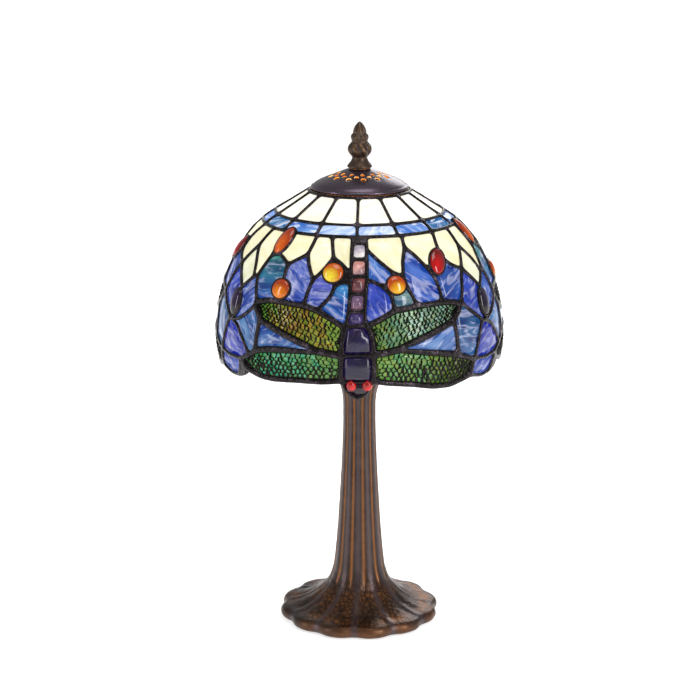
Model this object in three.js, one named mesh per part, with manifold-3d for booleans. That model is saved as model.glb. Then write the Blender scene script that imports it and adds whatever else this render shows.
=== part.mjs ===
import * as THREE from 'three';
import { mergeVertices } from 'three/addons/utils/BufferGeometryUtils.js';
import Module from 'manifold-3d';

const wasm = await Module();
wasm.setup();

// Millimetres, +Z up, origin at the middle of the underside, front of the lamp towards -Y.
// Azimuth is in degrees from the front, growing towards +X.

const clearance = 0.3;

const foot = {
  radius: 56.7,
  lobes: 12,
  lobeDepth: 3.2,
  notchAzimuth: -4,
  rimHeight: 8.6,
  rimRound: 2.4,
  underside: 0.6,
  mouthRadius: 48.2,
  plateRadius: 44.6,
  ceiling: 7.8,
  wall: 3.4,
};

const column = {
  neckRadius: 20.8,
  neckHeight: 27,
  waistRadius: 11.25,
  topRadius: 15.5,
  height: 176,
  flutes: 12,
  fluteDepth: 0.5,
  coreRadius: 8,
};

const felt = { thickness: 1.5 };
const plate = { thickness: 1.5 };
const jamNut = { height: 2.5, radius: 8.4 };
const flatWasher = { thickness: 0.8, radius: 9.5 };
const ballast = { height: 9, collar: 16 };
const tube = { radius: 4.9, bore: 3.4, reach: 8 };
const columnCap = { radius: 17.4, height: 5 };

const cordInlet = { width: 9, height: 6.6, bore: 2, length: 7.4 };

const holder = {
  throatRadius: 9,
  shoulder: 6,
  capHeight: 14,
  shellRadius: 15.9,
  shellWall: 1.2,
  floor: 1.4,
  shellHeight: 38,
  insulatorHeight: 14,
  insulatorRise: 1,      // top of the insulator below the bulb's seat
  screwLength: 24,
};

const bulb = {
  screwRadius: 13,
  screwHeight: 26,
  screwWall: 0.8,
  tipRadius: 4,
  tipDrop: 0.6,
  neckRadius: 11,
  neckRise: 2,           // neck above the screw
  stemDepth: 12,         // glass inside the screw
  radius: 20.5,
  height: 70,
  wall: 1,
};

const harp = { rod: 1.7, height: 123, halfWidth: 33, footHalfWidth: 15, saddleWidth: 11, saddle: 2, boss: 5.5, bossRadius: 6 };
const stud = { radius: 3.1, headRadius: 4.6, head: 1.2, intoFinial: 9 };
const spider = { thickness: 2, rimWidth: 4, hubRadius: 9, armWidth: 6 };

const shade = {
  topRadius: 33,
  crownRadius: 62,
  crownDrop: 18,
  bellyRadius: 100,
  bellyDrop: 102,
  tuckRadius: 60,
  tuckLength: 28.3,
  leadThickness: 3.2,
  glassThickness: 2.2,
  topEdge: 3.2,
  bottomEdge: 155,
  sides: 24,
};

const ventCap = {
  rise: 13.4,
  seatRadius: 8.8,
  shoulderRadius: 27,
  shoulderRise: 4.9,
  wall: 1.4,
  rimRadius: 33.4,
  rollRadius: 1.2,
  ventRing: 18,
  vents: 12,
  ventAzimuth: 7.5,
  ventSize: 1.9,
};
const finial = { height: 31, footRadius: 8.5, knobRadius: 8.25, neckRadius: 5.25, budRadius: 6.25 };
const finialWasher = { thickness: 0.8, radius: 7.5 };

// Heights that follow from the sizes above.
const saddleZ = column.height + clearance + columnCap.height + clearance;
const holderZ = saddleZ + harp.saddle + clearance;
const bossTopZ = saddleZ + harp.saddle + harp.height;
const spiderZ = bossTopZ + clearance;
const capRimZ = spiderZ + spider.thickness + clearance + ventCap.rollRadius;
const capTopZ = capRimZ - ventCap.rollRadius + ventCap.rise;
const finialZ = capTopZ + finialWasher.thickness + 2 * clearance;
const shadeTopZ = spiderZ + spider.thickness + 1.1;
const shellZ = holderZ + holder.capHeight + clearance;
const screwZ = holderZ + holder.capHeight - holder.shoulder + holder.insulatorHeight + 2 * holder.insulatorRise;
const nutZ = felt.thickness + 2 * clearance;
const washerZ = nutZ + jamNut.height + clearance;
const plateZ = foot.ceiling - clearance - plate.thickness;

const finishes = {
  bronze: new THREE.MeshStandardMaterial({ color: 0x4a3830, roughness: 0.45, metalness: 0.8 }),
  patina: new THREE.MeshStandardMaterial({ color: 0x30282c, roughness: 0.4, metalness: 0.7 }),
  brass: new THREE.MeshStandardMaterial({ color: 0xb08a45, roughness: 0.35, metalness: 0.9 }),
  steel: new THREE.MeshStandardMaterial({ color: 0x9a9c9e, roughness: 0.35, metalness: 0.9 }),
  iron: new THREE.MeshStandardMaterial({ color: 0x3a3a3c, roughness: 0.7, metalness: 0.5 }),
  felt: new THREE.MeshStandardMaterial({ color: 0x1f3a2a, roughness: 0.95, metalness: 0 }),
  rubber: new THREE.MeshStandardMaterial({ color: 0x1c1c1c, roughness: 0.7, metalness: 0 }),
  phenolic: new THREE.MeshStandardMaterial({ color: 0x241c18, roughness: 0.5, metalness: 0 }),
  frosted: new THREE.MeshStandardMaterial({ color: 0xfff4d8, roughness: 0.4, metalness: 0 }),
  crown: new THREE.MeshStandardMaterial({ color: 0xfffbe8, roughness: 0.25, metalness: 0 }),
  band: new THREE.MeshStandardMaterial({ color: 0x8fb8e0, roughness: 0.25, metalness: 0 }),
  petal: new THREE.MeshStandardMaterial({ color: 0xf8f4cc, roughness: 0.25, metalness: 0 }),
  sky: new THREE.MeshStandardMaterial({ color: 0x2f55c8, roughness: 0.25, metalness: 0 }),
  jewel: new THREE.MeshStandardMaterial({ color: 0x3a1c48, roughness: 0.1, metalness: 0 }),
  wing: new THREE.MeshStandardMaterial({ color: 0x7fae48, roughness: 0.3, metalness: 0 }),
  body: new THREE.MeshStandardMaterial({ color: 0x8a5566, roughness: 0.25, metalness: 0 }),
};

const lamp = new THREE.Group();

function add(name, geometry, material) {
  const mesh = new THREE.Mesh(geometry, material);
  mesh.name = name;
  lamp.add(mesh);
}

// A closed mesh as a solid, its faces turned outwards.
function toSolid(geometry) {
  const bare = geometry.clone();
  bare.deleteAttribute('normal');
  bare.deleteAttribute('uv');
  const merged = mergeVertices(bare, 1e-4);
  const position = merged.attributes.position;
  const corners = [new THREE.Vector3(), new THREE.Vector3(), new THREE.Vector3()];
  const kept = [];
  let volume = 0;
  for (let i = 0; i < merged.index.count; i += 3) {
    const face = [0, 1, 2].map((k) => merged.index.getX(i + k));
    if (face[0] === face[1] || face[1] === face[2] || face[2] === face[0]) continue;
    corners.forEach((corner, k) => corner.fromBufferAttribute(position, face[k]));
    volume += corners[0].dot(corners[1].clone().cross(corners[2])) / 6;
    kept.push(face);
  }
  const faces = volume < 0 ? kept.map((face) => [face[0], face[2], face[1]]) : kept;
  return new wasm.Manifold(
    new wasm.Mesh({ numProp: 3, vertProperties: position.array, triVerts: new Uint32Array(faces.flat()) }),
  );
}

function toGeometry(solid) {
  const mesh = solid.getMesh();
  const geometry = new THREE.BufferGeometry();
  geometry.setAttribute('position', new THREE.BufferAttribute(mesh.vertProperties, 3));
  geometry.setIndex(new THREE.BufferAttribute(mesh.triVerts, 1));
  return geometry;
}

// A turned piece from a profile of [radius, height] points. A profile that stays off the axis is closed on itself.
function turned(profile, segments = 20) {
  const points = profile.map(([r, z]) => new THREE.Vector2(r, z));
  const first = points[0];
  const last = points[points.length - 1];
  if (first.x > 0 || last.x > 0) points.push(first.clone());
  return toSolid(new THREE.LatheGeometry(points, segments).rotateX(Math.PI / 2));
}

function rod(radius, bottom, top, segments = 20) {
  return turned([[0, bottom], [radius, bottom], [radius, top], [0, top]], segments);
}

function ring(inner, outer, bottom, top, segments = 20) {
  return turned([[inner, bottom], [outer, bottom], [outer, top], [inner, top]], segments);
}

function block(width, depth, height, x, y, z) {
  return toSolid(new THREE.BoxGeometry(width, depth, height).translate(x, y, z));
}

// A closed body between rings that hold the same number of points, capped at both ends.
function ringBody(rings) {
  const count = rings[0].length;
  const points = rings.flat();
  const faces = [];
  for (let k = 0; k + 1 < rings.length; k += 1) {
    for (let i = 0; i < count; i += 1) {
      const a = k * count + i;
      const b = k * count + ((i + 1) % count);
      faces.push(a, b, b + count, a, b + count, a + count);
    }
  }
  [rings[0], rings[rings.length - 1]].forEach((loop, end) => {
    const centre = points.length;
    const start = end * (rings.length - 1) * count;
    points.push(new THREE.Vector3(0, 0, loop[0].z));
    for (let i = 0; i < count; i += 1) {
      const next = start + ((i + 1) % count);
      faces.push(...(end ? [centre, start + i, next] : [centre, next, start + i]));
    }
  });
  const geometry = new THREE.BufferGeometry().setFromPoints(points);
  geometry.setIndex(faces);
  return toSolid(geometry);
}

// Base: fluted column and scalloped foot in one casting.

const columnOutline = new THREE.SplineCurve([
  [column.neckRadius, 0],
  [column.waistRadius + 0.66 * (column.neckRadius - column.waistRadius), 0.13],
  [column.waistRadius + 0.35 * (column.neckRadius - column.waistRadius), 0.33],
  [column.waistRadius + 0.08 * (column.neckRadius - column.waistRadius), 0.64],
  [column.waistRadius, 0.82],
  [column.waistRadius + 0.15 * (column.topRadius - column.waistRadius), 0.92],
  [column.topRadius, 1],
].map(([r, t]) => new THREE.Vector2(r, column.neckHeight + t * (column.height - column.neckHeight))));

function footHeight(radius) {
  const out = (radius - column.neckRadius) / (foot.radius - column.neckRadius);
  return foot.rimHeight + (column.neckHeight - foot.rimHeight) * (1 - out) ** 2;
}

function footRadiusAt(share) {
  return column.neckRadius + share * (foot.radius - foot.rimRound - column.neckRadius);
}

function baseRing(radius, z, lobing, fluting) {
  const loop = [];
  const count = 3 * foot.lobes;
  for (let i = 0; i < count; i += 1) {
    const angle = THREE.MathUtils.degToRad(foot.notchAzimuth) + (2 * Math.PI * i) / count;
    const scallop = i % 3 === 0 ? foot.lobeDepth * lobing : 0;
    const flute = fluting * column.fluteDepth * Math.cos((column.flutes * 2 * Math.PI * i) / count);
    const r = radius - scallop + flute;
    loop.push(new THREE.Vector3(r * Math.sin(angle), -r * Math.cos(angle), z));
  }
  return loop;
}

function baseOutside() {
  const rings = [
    baseRing(foot.radius - foot.rimRound, foot.underside, 1, 0),
    baseRing(foot.radius, foot.underside + foot.rimRound, 1, 0),
    baseRing(foot.radius, foot.rimHeight - foot.rimRound, 1, 0),
  ];
  for (const share of [1, 0.75, 0.5, 0.25]) {
    const radius = footRadiusAt(share);
    rings.push(baseRing(radius, footHeight(radius), share ** 2, 1 - share));
  }
  for (const point of columnOutline.getPoints(7)) rings.push(baseRing(point.x, point.y, 0, 1));
  return ringBody(rings);
}

function baseHollow() {
  const profile = [
    [0, -1],
    [foot.mouthRadius, -1],
    [foot.mouthRadius, felt.thickness + clearance],
    [foot.plateRadius, felt.thickness + clearance],
    [foot.plateRadius, foot.ceiling],
  ];
  for (const share of [0.58, 0.36, 0.14]) {
    const radius = footRadiusAt(share);
    profile.push([radius, Math.max(foot.ceiling, footHeight(radius) - foot.wall)]);
  }
  for (const t of [0.05, 0.25, 0.5]) {
    const point = columnOutline.getPoint(t);
    profile.push([Math.max(column.coreRadius, point.x - foot.wall - 1), point.y]);
  }
  profile.push([column.coreRadius, column.height - 8], [0, column.height - 8]);
  return turned(profile, 24);
}

const inletY = foot.mouthRadius + clearance + cordInlet.length / 2;

function baseCasting() {
  const tubeHole = rod(tube.radius + clearance, column.height - 20, column.height + 1);
  const inlet = block(cordInlet.width, 30, cordInlet.height + 1, 0, inletY, (cordInlet.height - 1) / 2);
  return baseOutside().subtract(baseHollow()).subtract(tubeHole).subtract(inlet);
}

function cordGrommet() {
  const bottom = foot.underside + clearance;
  const height = cordInlet.height - clearance - bottom;
  const body = block(cordInlet.width - 2 * clearance, cordInlet.length, height, 0, inletY, bottom + height / 2);
  const bore = toSolid(
    new THREE.CylinderGeometry(cordInlet.bore, cordInlet.bore, 2 * cordInlet.length, 16)
      .translate(0, inletY, bottom + height / 2),
  );
  return body.subtract(bore);
}

function addBase() {
  add('base_casting', toGeometry(baseCasting()), finishes.bronze);
  add('cord_grommet', toGeometry(cordGrommet()), finishes.rubber);
  add('felt_pad', toGeometry(rod(foot.mouthRadius - clearance, 0, felt.thickness, 24)), finishes.felt);
  const plateDisc = ring(tube.radius + clearance, foot.plateRadius - clearance, plateZ, plateZ + plate.thickness, 24);
  add('bottom_plate', toGeometry(plateDisc), finishes.steel);
  const weight = turned([
    [tube.radius + clearance, foot.ceiling],
    [footRadiusAt(0.5), foot.ceiling],
    [footRadiusAt(0.5), foot.ceiling + 1.6],
    [ballast.collar, foot.ceiling + ballast.height],
    [tube.radius + clearance, foot.ceiling + ballast.height],
  ], 24);
  add('ballast_weight', toGeometry(weight), finishes.iron);
  const tubeTop = holderZ + tube.reach;
  add('threaded_tube', toGeometry(ring(tube.bore, tube.radius, nutZ - clearance / 2, tubeTop, 16)), finishes.steel);
  const nut = rod(jamNut.radius, nutZ, nutZ + jamNut.height, 6)
    .subtract(rod(tube.radius + clearance, nutZ - 1, nutZ + jamNut.height + 1, 16));
  add('bottom_nut', toGeometry(nut), finishes.brass);
  const washer = ring(tube.radius + clearance, flatWasher.radius, washerZ, washerZ + flatWasher.thickness);
  add('bottom_washer', toGeometry(washer), finishes.steel);
  const capZ = column.height + clearance;
  const cap = turned([
    [tube.radius + clearance, capZ],
    [columnCap.radius - 0.6, capZ],
    [columnCap.radius, capZ + 0.35 * columnCap.height],
    [columnCap.radius - 3.4, capZ + columnCap.height],
    [tube.radius + clearance, capZ + columnCap.height],
  ], 24);
  add('column_cap', toGeometry(cap), finishes.bronze);
}

// Lampholder and bulb.

function addHolder() {
  const top = holderZ + holder.capHeight;
  const wall = holder.shellWall;
  const cup = turned([
    [tube.radius + clearance, holderZ],
    [holder.throatRadius, holderZ],
    [holder.shellRadius, holderZ + holder.shoulder],
    [holder.shellRadius, top],
    [holder.shellRadius - wall, top],
    [holder.shellRadius - wall, holderZ + holder.shoulder + wall / 2],
    [holder.throatRadius - wall / 2, holderZ + holder.floor],
    [tube.radius + clearance, holderZ + holder.floor],
  ]);
  add('holder_cap', toGeometry(cup), finishes.brass);
  const inside = holder.shellRadius - wall;
  const shell = ring(inside, holder.shellRadius, shellZ, shellZ + holder.shellHeight);
  add('holder_shell', toGeometry(shell), finishes.brass);
  const blockZ = holderZ + tube.reach + clearance;
  const blockTop = screwZ - holder.insulatorRise;
  const insulator = rod(inside - clearance, blockZ, blockTop, 20);
  add('holder_insulator', toGeometry(insulator), finishes.phenolic);
  const threadsTop = screwZ + holder.screwLength;
  const threads = ring(bulb.screwRadius + clearance, inside - clearance, blockTop + clearance, threadsTop);
  add('screw_shell', toGeometry(threads), finishes.brass);
}

const globeZ = screwZ + bulb.height - bulb.radius;

function bulbOutline(offset) {
  const neckTop = screwZ + bulb.screwHeight + bulb.neckRise;
  const stemZ = neckTop - bulb.stemDepth - 4 * offset;
  const points = [
    [0, stemZ],
    [bulb.neckRadius - offset, stemZ],
    [bulb.neckRadius - offset, neckTop],
  ];
  for (let i = 0; i <= 6; i += 1) {
    const angle = -0.7 + ((Math.PI / 2 + 0.7) * i) / 6;
    const radius = bulb.radius - offset;
    points.push([i === 6 ? 0 : radius * Math.cos(angle), globeZ + radius * Math.sin(angle)]);
  }
  return points;
}

function addBulb() {
  const r = bulb.screwRadius;
  const tip = bulb.tipRadius;
  const cup = turned([
    [tip + clearance, screwZ],
    [tip + 2, screwZ + 1],
    [r, screwZ + 4],
    [r, screwZ + bulb.screwHeight],
    [r - bulb.screwWall, screwZ + bulb.screwHeight],
    [r - bulb.screwWall, screwZ + 5],
    [tip + 1.6, screwZ + 2.2],
    [tip + clearance, screwZ + 1.6],
  ]);
  add('bulb_cap', toGeometry(cup), finishes.steel);
  add('bulb_contact', toGeometry(rod(tip, screwZ - bulb.tipDrop, screwZ + 2 * bulb.tipDrop, 16)), finishes.brass);
  const glass = turned(bulbOutline(0), 18).subtract(turned(bulbOutline(bulb.wall), 18));
  add('bulb_glass', toGeometry(glass), finishes.frosted);
}

// Harp: a saddle, one bent rod and a boss on top, with the stud that carries the shade.

function harpBow() {
  const bossMiddle = bossTopZ - harp.boss / 2;
  const side = [
    [harp.footHalfWidth, saddleZ + harp.saddle / 2],
    [harp.footHalfWidth + 3, saddleZ + 0.08 * harp.height],
    [harp.halfWidth - 4, saddleZ + 0.27 * harp.height],
    [harp.halfWidth, saddleZ + 0.5 * harp.height],
    [harp.halfWidth - 4, saddleZ + 0.76 * harp.height],
    [harp.halfWidth - 14, bossMiddle - 7],
    [harp.bossRadius + 2, bossMiddle - 0.6],
  ];
  const points = [
    ...side.map(([x, z]) => new THREE.Vector3(-x, 0, z)),
    new THREE.Vector3(0, 0, bossMiddle),
    ...side.map(([x, z]) => new THREE.Vector3(x, 0, z)).reverse(),
  ];
  const section = new THREE.Shape().absarc(0, 0, harp.rod, 0, 2 * Math.PI);
  const bend = new THREE.CatmullRomCurve3(points);
  const settings = { extrudePath: bend, steps: 22, curveSegments: 4, bevelEnabled: false };
  return toSolid(new THREE.ExtrudeGeometry(section, settings));
}

function addHarp() {
  const length = 2 * (harp.footHalfWidth + 4);
  const saddle = block(length, harp.saddleWidth, harp.saddle, 0, 0, saddleZ + harp.saddle / 2)
    .subtract(rod(tube.radius + clearance, saddleZ - 1, saddleZ + harp.saddle + 1));
  const boss = rod(harp.bossRadius, bossTopZ - harp.boss, bossTopZ);
  const studHole = rod(stud.radius + clearance, bossTopZ - 3 * harp.boss, bossTopZ + 1);
  add('harp', toGeometry(harpBow().add(boss).subtract(studHole).add(saddle)), finishes.brass);
  const headTop = bossTopZ - harp.boss - clearance;
  const top = finialZ + stud.intoFinial;
  const pin = turned([
    [0, headTop - stud.head],
    [stud.headRadius, headTop - stud.head],
    [stud.headRadius, headTop],
    [stud.radius, headTop],
    [stud.radius, top - 0.8],
    [stud.radius - 0.8, top],
    [0, top],
  ], 16);
  add('harp_stud', toGeometry(pin), finishes.brass);
}

// Shade: one outline turned about the axis, cut into glass areas by a drawing in azimuth and depth.

const shadeOutline = new THREE.CurvePath();
const crownFoot = new THREE.Vector2(shade.crownRadius, shadeTopZ - shade.crownDrop);
const belly = new THREE.Vector2(shade.bellyRadius, shadeTopZ - shade.bellyDrop);
shadeOutline.add(new THREE.LineCurve(new THREE.Vector2(shade.topRadius, shadeTopZ), crownFoot));
const crownLead = new THREE.Vector2(19.7, -13.8).add(crownFoot);
const bellyLead = new THREE.Vector2(0, 40).add(belly);
shadeOutline.add(new THREE.CubicBezierCurve(crownFoot, crownLead, bellyLead, belly));
const tuckAngle = shade.tuckLength / shade.tuckRadius;
const tuckCentre = shade.bellyRadius - shade.tuckRadius;
shadeOutline.add(
  new THREE.EllipseCurve(tuckCentre, belly.y, shade.tuckRadius, shade.tuckRadius, 0, -tuckAngle, true),
);

// The drawing is this deep from crown to the end of the outline, and is stretched to the outline's real length.
const drawingDepth = 158;
const shadeEye = new THREE.Vector3(0, 0, belly.y + 7);

function outlinePoint(depth, inward) {
  const t = depth / drawingDepth;
  const point = shadeOutline.getPoint(t);
  const ahead = shadeOutline.getPoint(Math.min(1, t + 1e-3));
  const behind = shadeOutline.getPoint(Math.max(0, t - 1e-3));
  const along = ahead.sub(behind).normalize();
  return new THREE.Vector2(point.x + along.y * inward, point.y - along.x * inward);
}

function leadShell() {
  const depths = [shade.topEdge, 34, 64, 98, 130, shade.bottomEdge];
  const profile = [
    ...depths.map((depth) => outlinePoint(depth, 0)),
    ...depths.slice().reverse().map((depth) => outlinePoint(depth, shade.leadThickness)),
  ];
  return turned(profile.map((point) => [point.x, point.y]), shade.sides);
}

function interpolate(stations, azimuth) {
  const next = stations.findIndex((station) => station[0] >= azimuth);
  const [b, a] = [stations[Math.max(1, next)], stations[Math.max(1, next) - 1]];
  const share = (azimuth - a[0]) / (b[0] - a[0]);
  return [azimuth, a[1] + share * (b[1] - a[1]), a[2] + share * (b[2] - a[2])];
}

// Stations are added where the shell's facets meet.
function densify(stations) {
  const facet = 360 / shade.sides;
  const result = [stations[0]];
  for (let i = 1; i < stations.length; i += 1) {
    const [from, to] = [stations[i - 1], stations[i]];
    for (let edge = Math.ceil(from[0] / facet) * facet; edge < to[0]; edge += facet) {
      if (edge > from[0] + 0.5 && edge < to[0] - 0.5) result.push(interpolate([from, to], edge));
    }
    result.push(to);
  }
  return result;
}

// The same area drawn smaller by a margin in millimetres on every side.
function inset(stations, margin) {
  const radius = outlinePoint(stations[0][1], 0).x;
  const endShift = THREE.MathUtils.radToDeg(margin / radius);
  const first = interpolate(stations, stations[0][0] + endShift);
  const last = interpolate(stations, stations[stations.length - 1][0] - endShift);
  const inner = stations.filter((station) => station[0] > first[0] && station[0] < last[0]);
  const all = [first, ...inner, last];
  const steepness = (i, k) => {
    const slopes = [all[i - 1], all[i + 1]].filter(Boolean).map((other) => {
      const run = THREE.MathUtils.degToRad(other[0] - all[i][0]) * radius;
      return Math.abs((other[k] - all[i][k]) / run);
    });
    return Math.hypot(1, Math.min(4, Math.max(...slopes)));
  };
  return all.map(([azimuth, top, bottom], i) => [
    azimuth,
    top + margin * steepness(i, 1),
    bottom - margin * steepness(i, 2),
  ]);
}

// A body over an area of the drawing, between two surfaces that corner() places at each azimuth and depth.
// Rows split its depth, so that it follows the wall's curve.
function areaBody(stations, turn, corner, rows = 1, closed = false) {
  const dense = densify(stations);
  const section = 2 * (rows + 1);
  const points = [];
  for (const [azimuth, top, bottom] of dense) {
    const angle = THREE.MathUtils.degToRad(azimuth + turn);
    for (let row = 0; row <= rows; row += 1) {
      const depth = top + ((bottom - top) * row) / rows;
      points.push(corner(angle, depth, 0), corner(angle, depth, 1));
    }
  }
  const faces = [];
  const quad = (a, b, c, d) => faces.push(a, b, c, a, c, d);
  const sections = closed ? dense.length : dense.length - 1;
  for (let i = 0; i < sections; i += 1) {
    const a = section * i;
    const b = section * ((i + 1) % dense.length);
    quad(a, a + 1, b + 1, b);
    for (let k = 0; k < 2 * rows; k += 2) {
      quad(a + k + 1, a + k + 3, b + k + 3, b + k + 1);
      quad(a + k + 2, a + k, b + k, b + k + 2);
    }
    quad(a + section - 1, a + section - 2, b + section - 2, b + section - 1);
  }
  if (!closed) {
    const end = section * (dense.length - 1);
    for (let k = 0; k < 2 * rows; k += 2) {
      quad(k, k + 2, k + 3, k + 1);
      quad(end + k, end + k + 1, end + k + 3, end + k + 2);
    }
  }
  const geometry = new THREE.BufferGeometry().setFromPoints(points);
  geometry.setIndex(faces);
  return toSolid(geometry);
}

function wallPoint(angle, depth) {
  const { x: r, y: z } = outlinePoint(depth, 0);
  return new THREE.Vector3(r * Math.sin(angle), -r * Math.cos(angle), z);
}

// An opening reaches through the wall, its sides pointing at the eye on the axis.
function openingBody(stations, turn, closed = false) {
  const corner = (angle, depth, outer) => wallPoint(angle, depth)
    .sub(shadeEye)
    .multiplyScalar(outer ? 1.12 : 0.88)
    .add(shadeEye);
  return areaBody(stations, turn, corner, 1, closed);
}

// A pane fills its opening but for the margin. Its thickness lies in the middle of the lead's.
function paneBody(stations, turn) {
  const skin = (shade.leadThickness - shade.glassThickness) / 2;
  const corner = (angle, depth, outer) => {
    const point = wallPoint(angle, depth);
    return point.add(shadeEye.clone().sub(point).setLength(outer ? skin : skin + shade.glassThickness));
  };
  const tallest = Math.max(...stations.map(([, top, bottom]) => bottom - top));
  return areaBody(inset(stations, clearance), turn, corner, Math.ceil(tallest / 30));
}

function jewelStations(azimuth, depth, halfWidth, halfHeight) {
  return [-1, -0.6, 0, 0.6, 1].map((x) => {
    const y = halfHeight * Math.max(0.25, Math.sqrt(1 - x * x));
    return [azimuth + halfWidth * x, depth - y, depth + y];
  });
}

// Glass areas of one third of the shade, from one dragonfly to the next: [azimuth, upper depth, lower depth].
const glassAreas = {
  crown_glass: ['crown', [[-0.5, 6, 27.5], [117, 6, 27.5]]],
  band_glass: ['band', [[-0.5, 30.5, 38.5], [117, 30.5, 38.5]]],
  petal_glass: ['petal', [
    [4.5, 42, 51], [17, 42, 66], [24, 42, 52], [31, 42, 60], [38, 42, 51], [45, 42, 58],
    [61, 42, 82], [75, 42, 60], [84, 42, 60], [91, 42, 55], [100, 42, 69], [107, 42, 57], [114.5, 42, 57],
  ]],
  sky_glass_right: ['sky', [
    [4.5, 55.5, 97.5], [17, 70, 89], [24, 57, 88], [31, 64.5, 88], [38, 55.5, 88.5],
    [45, 62.5, 91], [55, 79.5, 104],
  ]],
  sky_glass_left: ['sky', [
    [65, 80.5, 105], [75, 64.5, 90.5], [84, 64, 88.5], [91, 59.5, 88], [100, 73.5, 89.5],
    [107, 62, 94.5], [114.5, 62, 98],
  ]],
  gap_jewel: ['jewel', jewelStations(60, 97, 3.6, 9)],
  gap_glass: ['sky', [
    [23, 115.5, 119], [38, 108.5, 122.5], [46, 101.5, 128], [50.5, 105.5, 131.5], [54, 108.5, 144.5],
    [60, 110.5, 144.5], [66, 108.5, 144.5], [70, 102.5, 129], [78, 108, 121.5], [97, 116.5, 119.8],
  ]],
  wing_upper_right: ['wing', [
    [5, 104.5, 117], [16, 95, 112.5], [28, 92.5, 106.5], [40, 95, 98.3],
  ]],
  wing_upper_left: ['wing', [
    [75.5, 94.8, 98], [80, 92.3, 102], [102, 94.5, 113.5], [112, 104.5, 118],
  ]],
  wing_lower_right: ['wing', [
    [5, 124.5, 137], [28, 125, 144], [36, 129, 146], [47, 136, 140],
  ]],
  wing_lower_left: ['wing', [
    [71, 131.5, 135], [76, 128.3, 140.5], [94, 123, 139], [111.5, 127, 137],
  ]],
  dragonfly_body: ['body', [[-3.6, 45.5, 136], [1.2, 45.5, 136]]],
};

// Lower edge of one third of the shade: [azimuth, depth]. The dragonfly's head hangs below the wings.
const rimDrawing = [
  [-11, 140.8], [-1.8, 153], [-0.6, 153], [8, 140.8], [30, 147.3], [38, 148.5], [50, 144.8],
  [55, 147.3], [65, 147.3], [70, 144.8],
];

const thirds = [0, 120, 240];

function addShade() {
  const belowRim = thirds.flatMap((turn) => rimDrawing.map(([azimuth, depth]) => [azimuth + turn, depth, drawingDepth]));
  let lattice = leadShell().subtract(openingBody(belowRim, 0, true));
  for (const [name, [finish, stations]] of Object.entries(glassAreas)) {
    thirds.forEach((turn, i) => {
      lattice = lattice.subtract(openingBody(stations, turn));
      add(`${name}_${i + 1}`, toGeometry(paneBody(stations, turn)), finishes[finish]);
    });
  }
  add('shade_lattice', toGeometry(lattice), finishes.patina);
}

// Spider plate: the crown's ring, three arms and a hub that sits on the harp's boss.
function addSpider() {
  const outer = outlinePoint(shade.topEdge, shade.leadThickness).x - clearance;
  const rimInside = outer - spider.rimWidth;
  const top = spiderZ + spider.thickness;
  let plateBody = ring(rimInside, outer, spiderZ, top, 24).add(rod(spider.hubRadius, spiderZ, top));
  for (const turn of thirds) {
    const arm = new THREE.BoxGeometry(spider.armWidth, rimInside + 1, spider.thickness)
      .translate(0, -(rimInside + 1) / 2, spiderZ + spider.thickness / 2)
      .rotateZ(THREE.MathUtils.degToRad(turn));
    plateBody = plateBody.add(toSolid(arm));
  }
  plateBody = plateBody.subtract(rod(stud.radius + clearance, spiderZ - 1, top + 1));
  add('shade_spider', toGeometry(plateBody), finishes.brass);
}

// Vented cap: a spun cone with a flat seat, a rolled rim and a ring of diamond vents.
function addVentCap() {
  const roll = ventCap.rollRadius;
  const rim = ventCap.rimRadius;
  const hole = stud.radius + clearance;
  const { seatRadius, shoulderRadius } = ventCap;
  const slope = (capTopZ - capRimZ - ventCap.shoulderRise) / (shoulderRadius - seatRadius);
  const cone = (r, drop) => [r, capTopZ - slope * (r - seatRadius) - drop];
  const radii = [0, 0.5, 1].map((share) => seatRadius + share * (shoulderRadius - seatRadius));
  const cap = turned([
    [hole, capTopZ],
    ...radii.map((r) => cone(r, 0)),
    [rim - roll, capRimZ + roll],
    [rim, capRimZ + roll],
    [rim + roll, capRimZ],
    [rim, capRimZ - roll],
    [rim - roll, capRimZ - 0.4 * roll],
    ...radii.slice().reverse().map((r) => cone(r, ventCap.wall)),
    [hole, capTopZ - ventCap.wall],
  ], 24);
  const vents = [];
  for (let i = 0; i < ventCap.vents; i += 1) {
    const vent = new THREE.CylinderGeometry(ventCap.ventSize, ventCap.ventSize, 20, 4)
      .rotateX(Math.PI / 2)
      .translate(0, -ventCap.ventRing, capRimZ)
      .rotateZ(THREE.MathUtils.degToRad(ventCap.ventAzimuth) + (2 * Math.PI * i) / ventCap.vents);
    vents.push(toSolid(vent));
  }
  add('vented_cap', toGeometry(vents.reduce((solid, vent) => solid.subtract(vent), cap)), finishes.patina);
}

function addFinial() {
  const washer = ring(stud.radius + clearance, finialWasher.radius, capTopZ + clearance,
    capTopZ + clearance + finialWasher.thickness);
  add('finial_washer', toGeometry(washer), finishes.brass);
  const at = (share) => finialZ + share * finial.height;
  const body = turned([
    [0, at(0)],
    [finial.footRadius, at(0)],
    [finial.footRadius, at(0.05)],
    [finial.neckRadius + 1.2, at(0.15)],
    [finial.neckRadius, at(0.24)],
    [finial.neckRadius + 0.8, at(0.3)],
    [finial.knobRadius, at(0.42)],
    [finial.knobRadius - 1.2, at(0.53)],
    [finial.neckRadius, at(0.61)],
    [finial.budRadius, at(0.68)],
    [finial.budRadius, at(0.76)],
    [finial.budRadius - 0.8, at(0.82)],
    [finial.budRadius - 2, at(0.91)],
    [0, at(1)],
  ], 20);
  const bore = rod(stud.radius + clearance, finialZ - 1, finialZ + stud.intoFinial + 2, 16);
  add('finial', toGeometry(body.subtract(bore)), finishes.bronze);
}

addBase();
addHolder();
addBulb();
addHarp();
addSpider();
addShade();
addVentCap();
addFinial();

export default lamp;
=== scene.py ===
import math
import random

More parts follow.
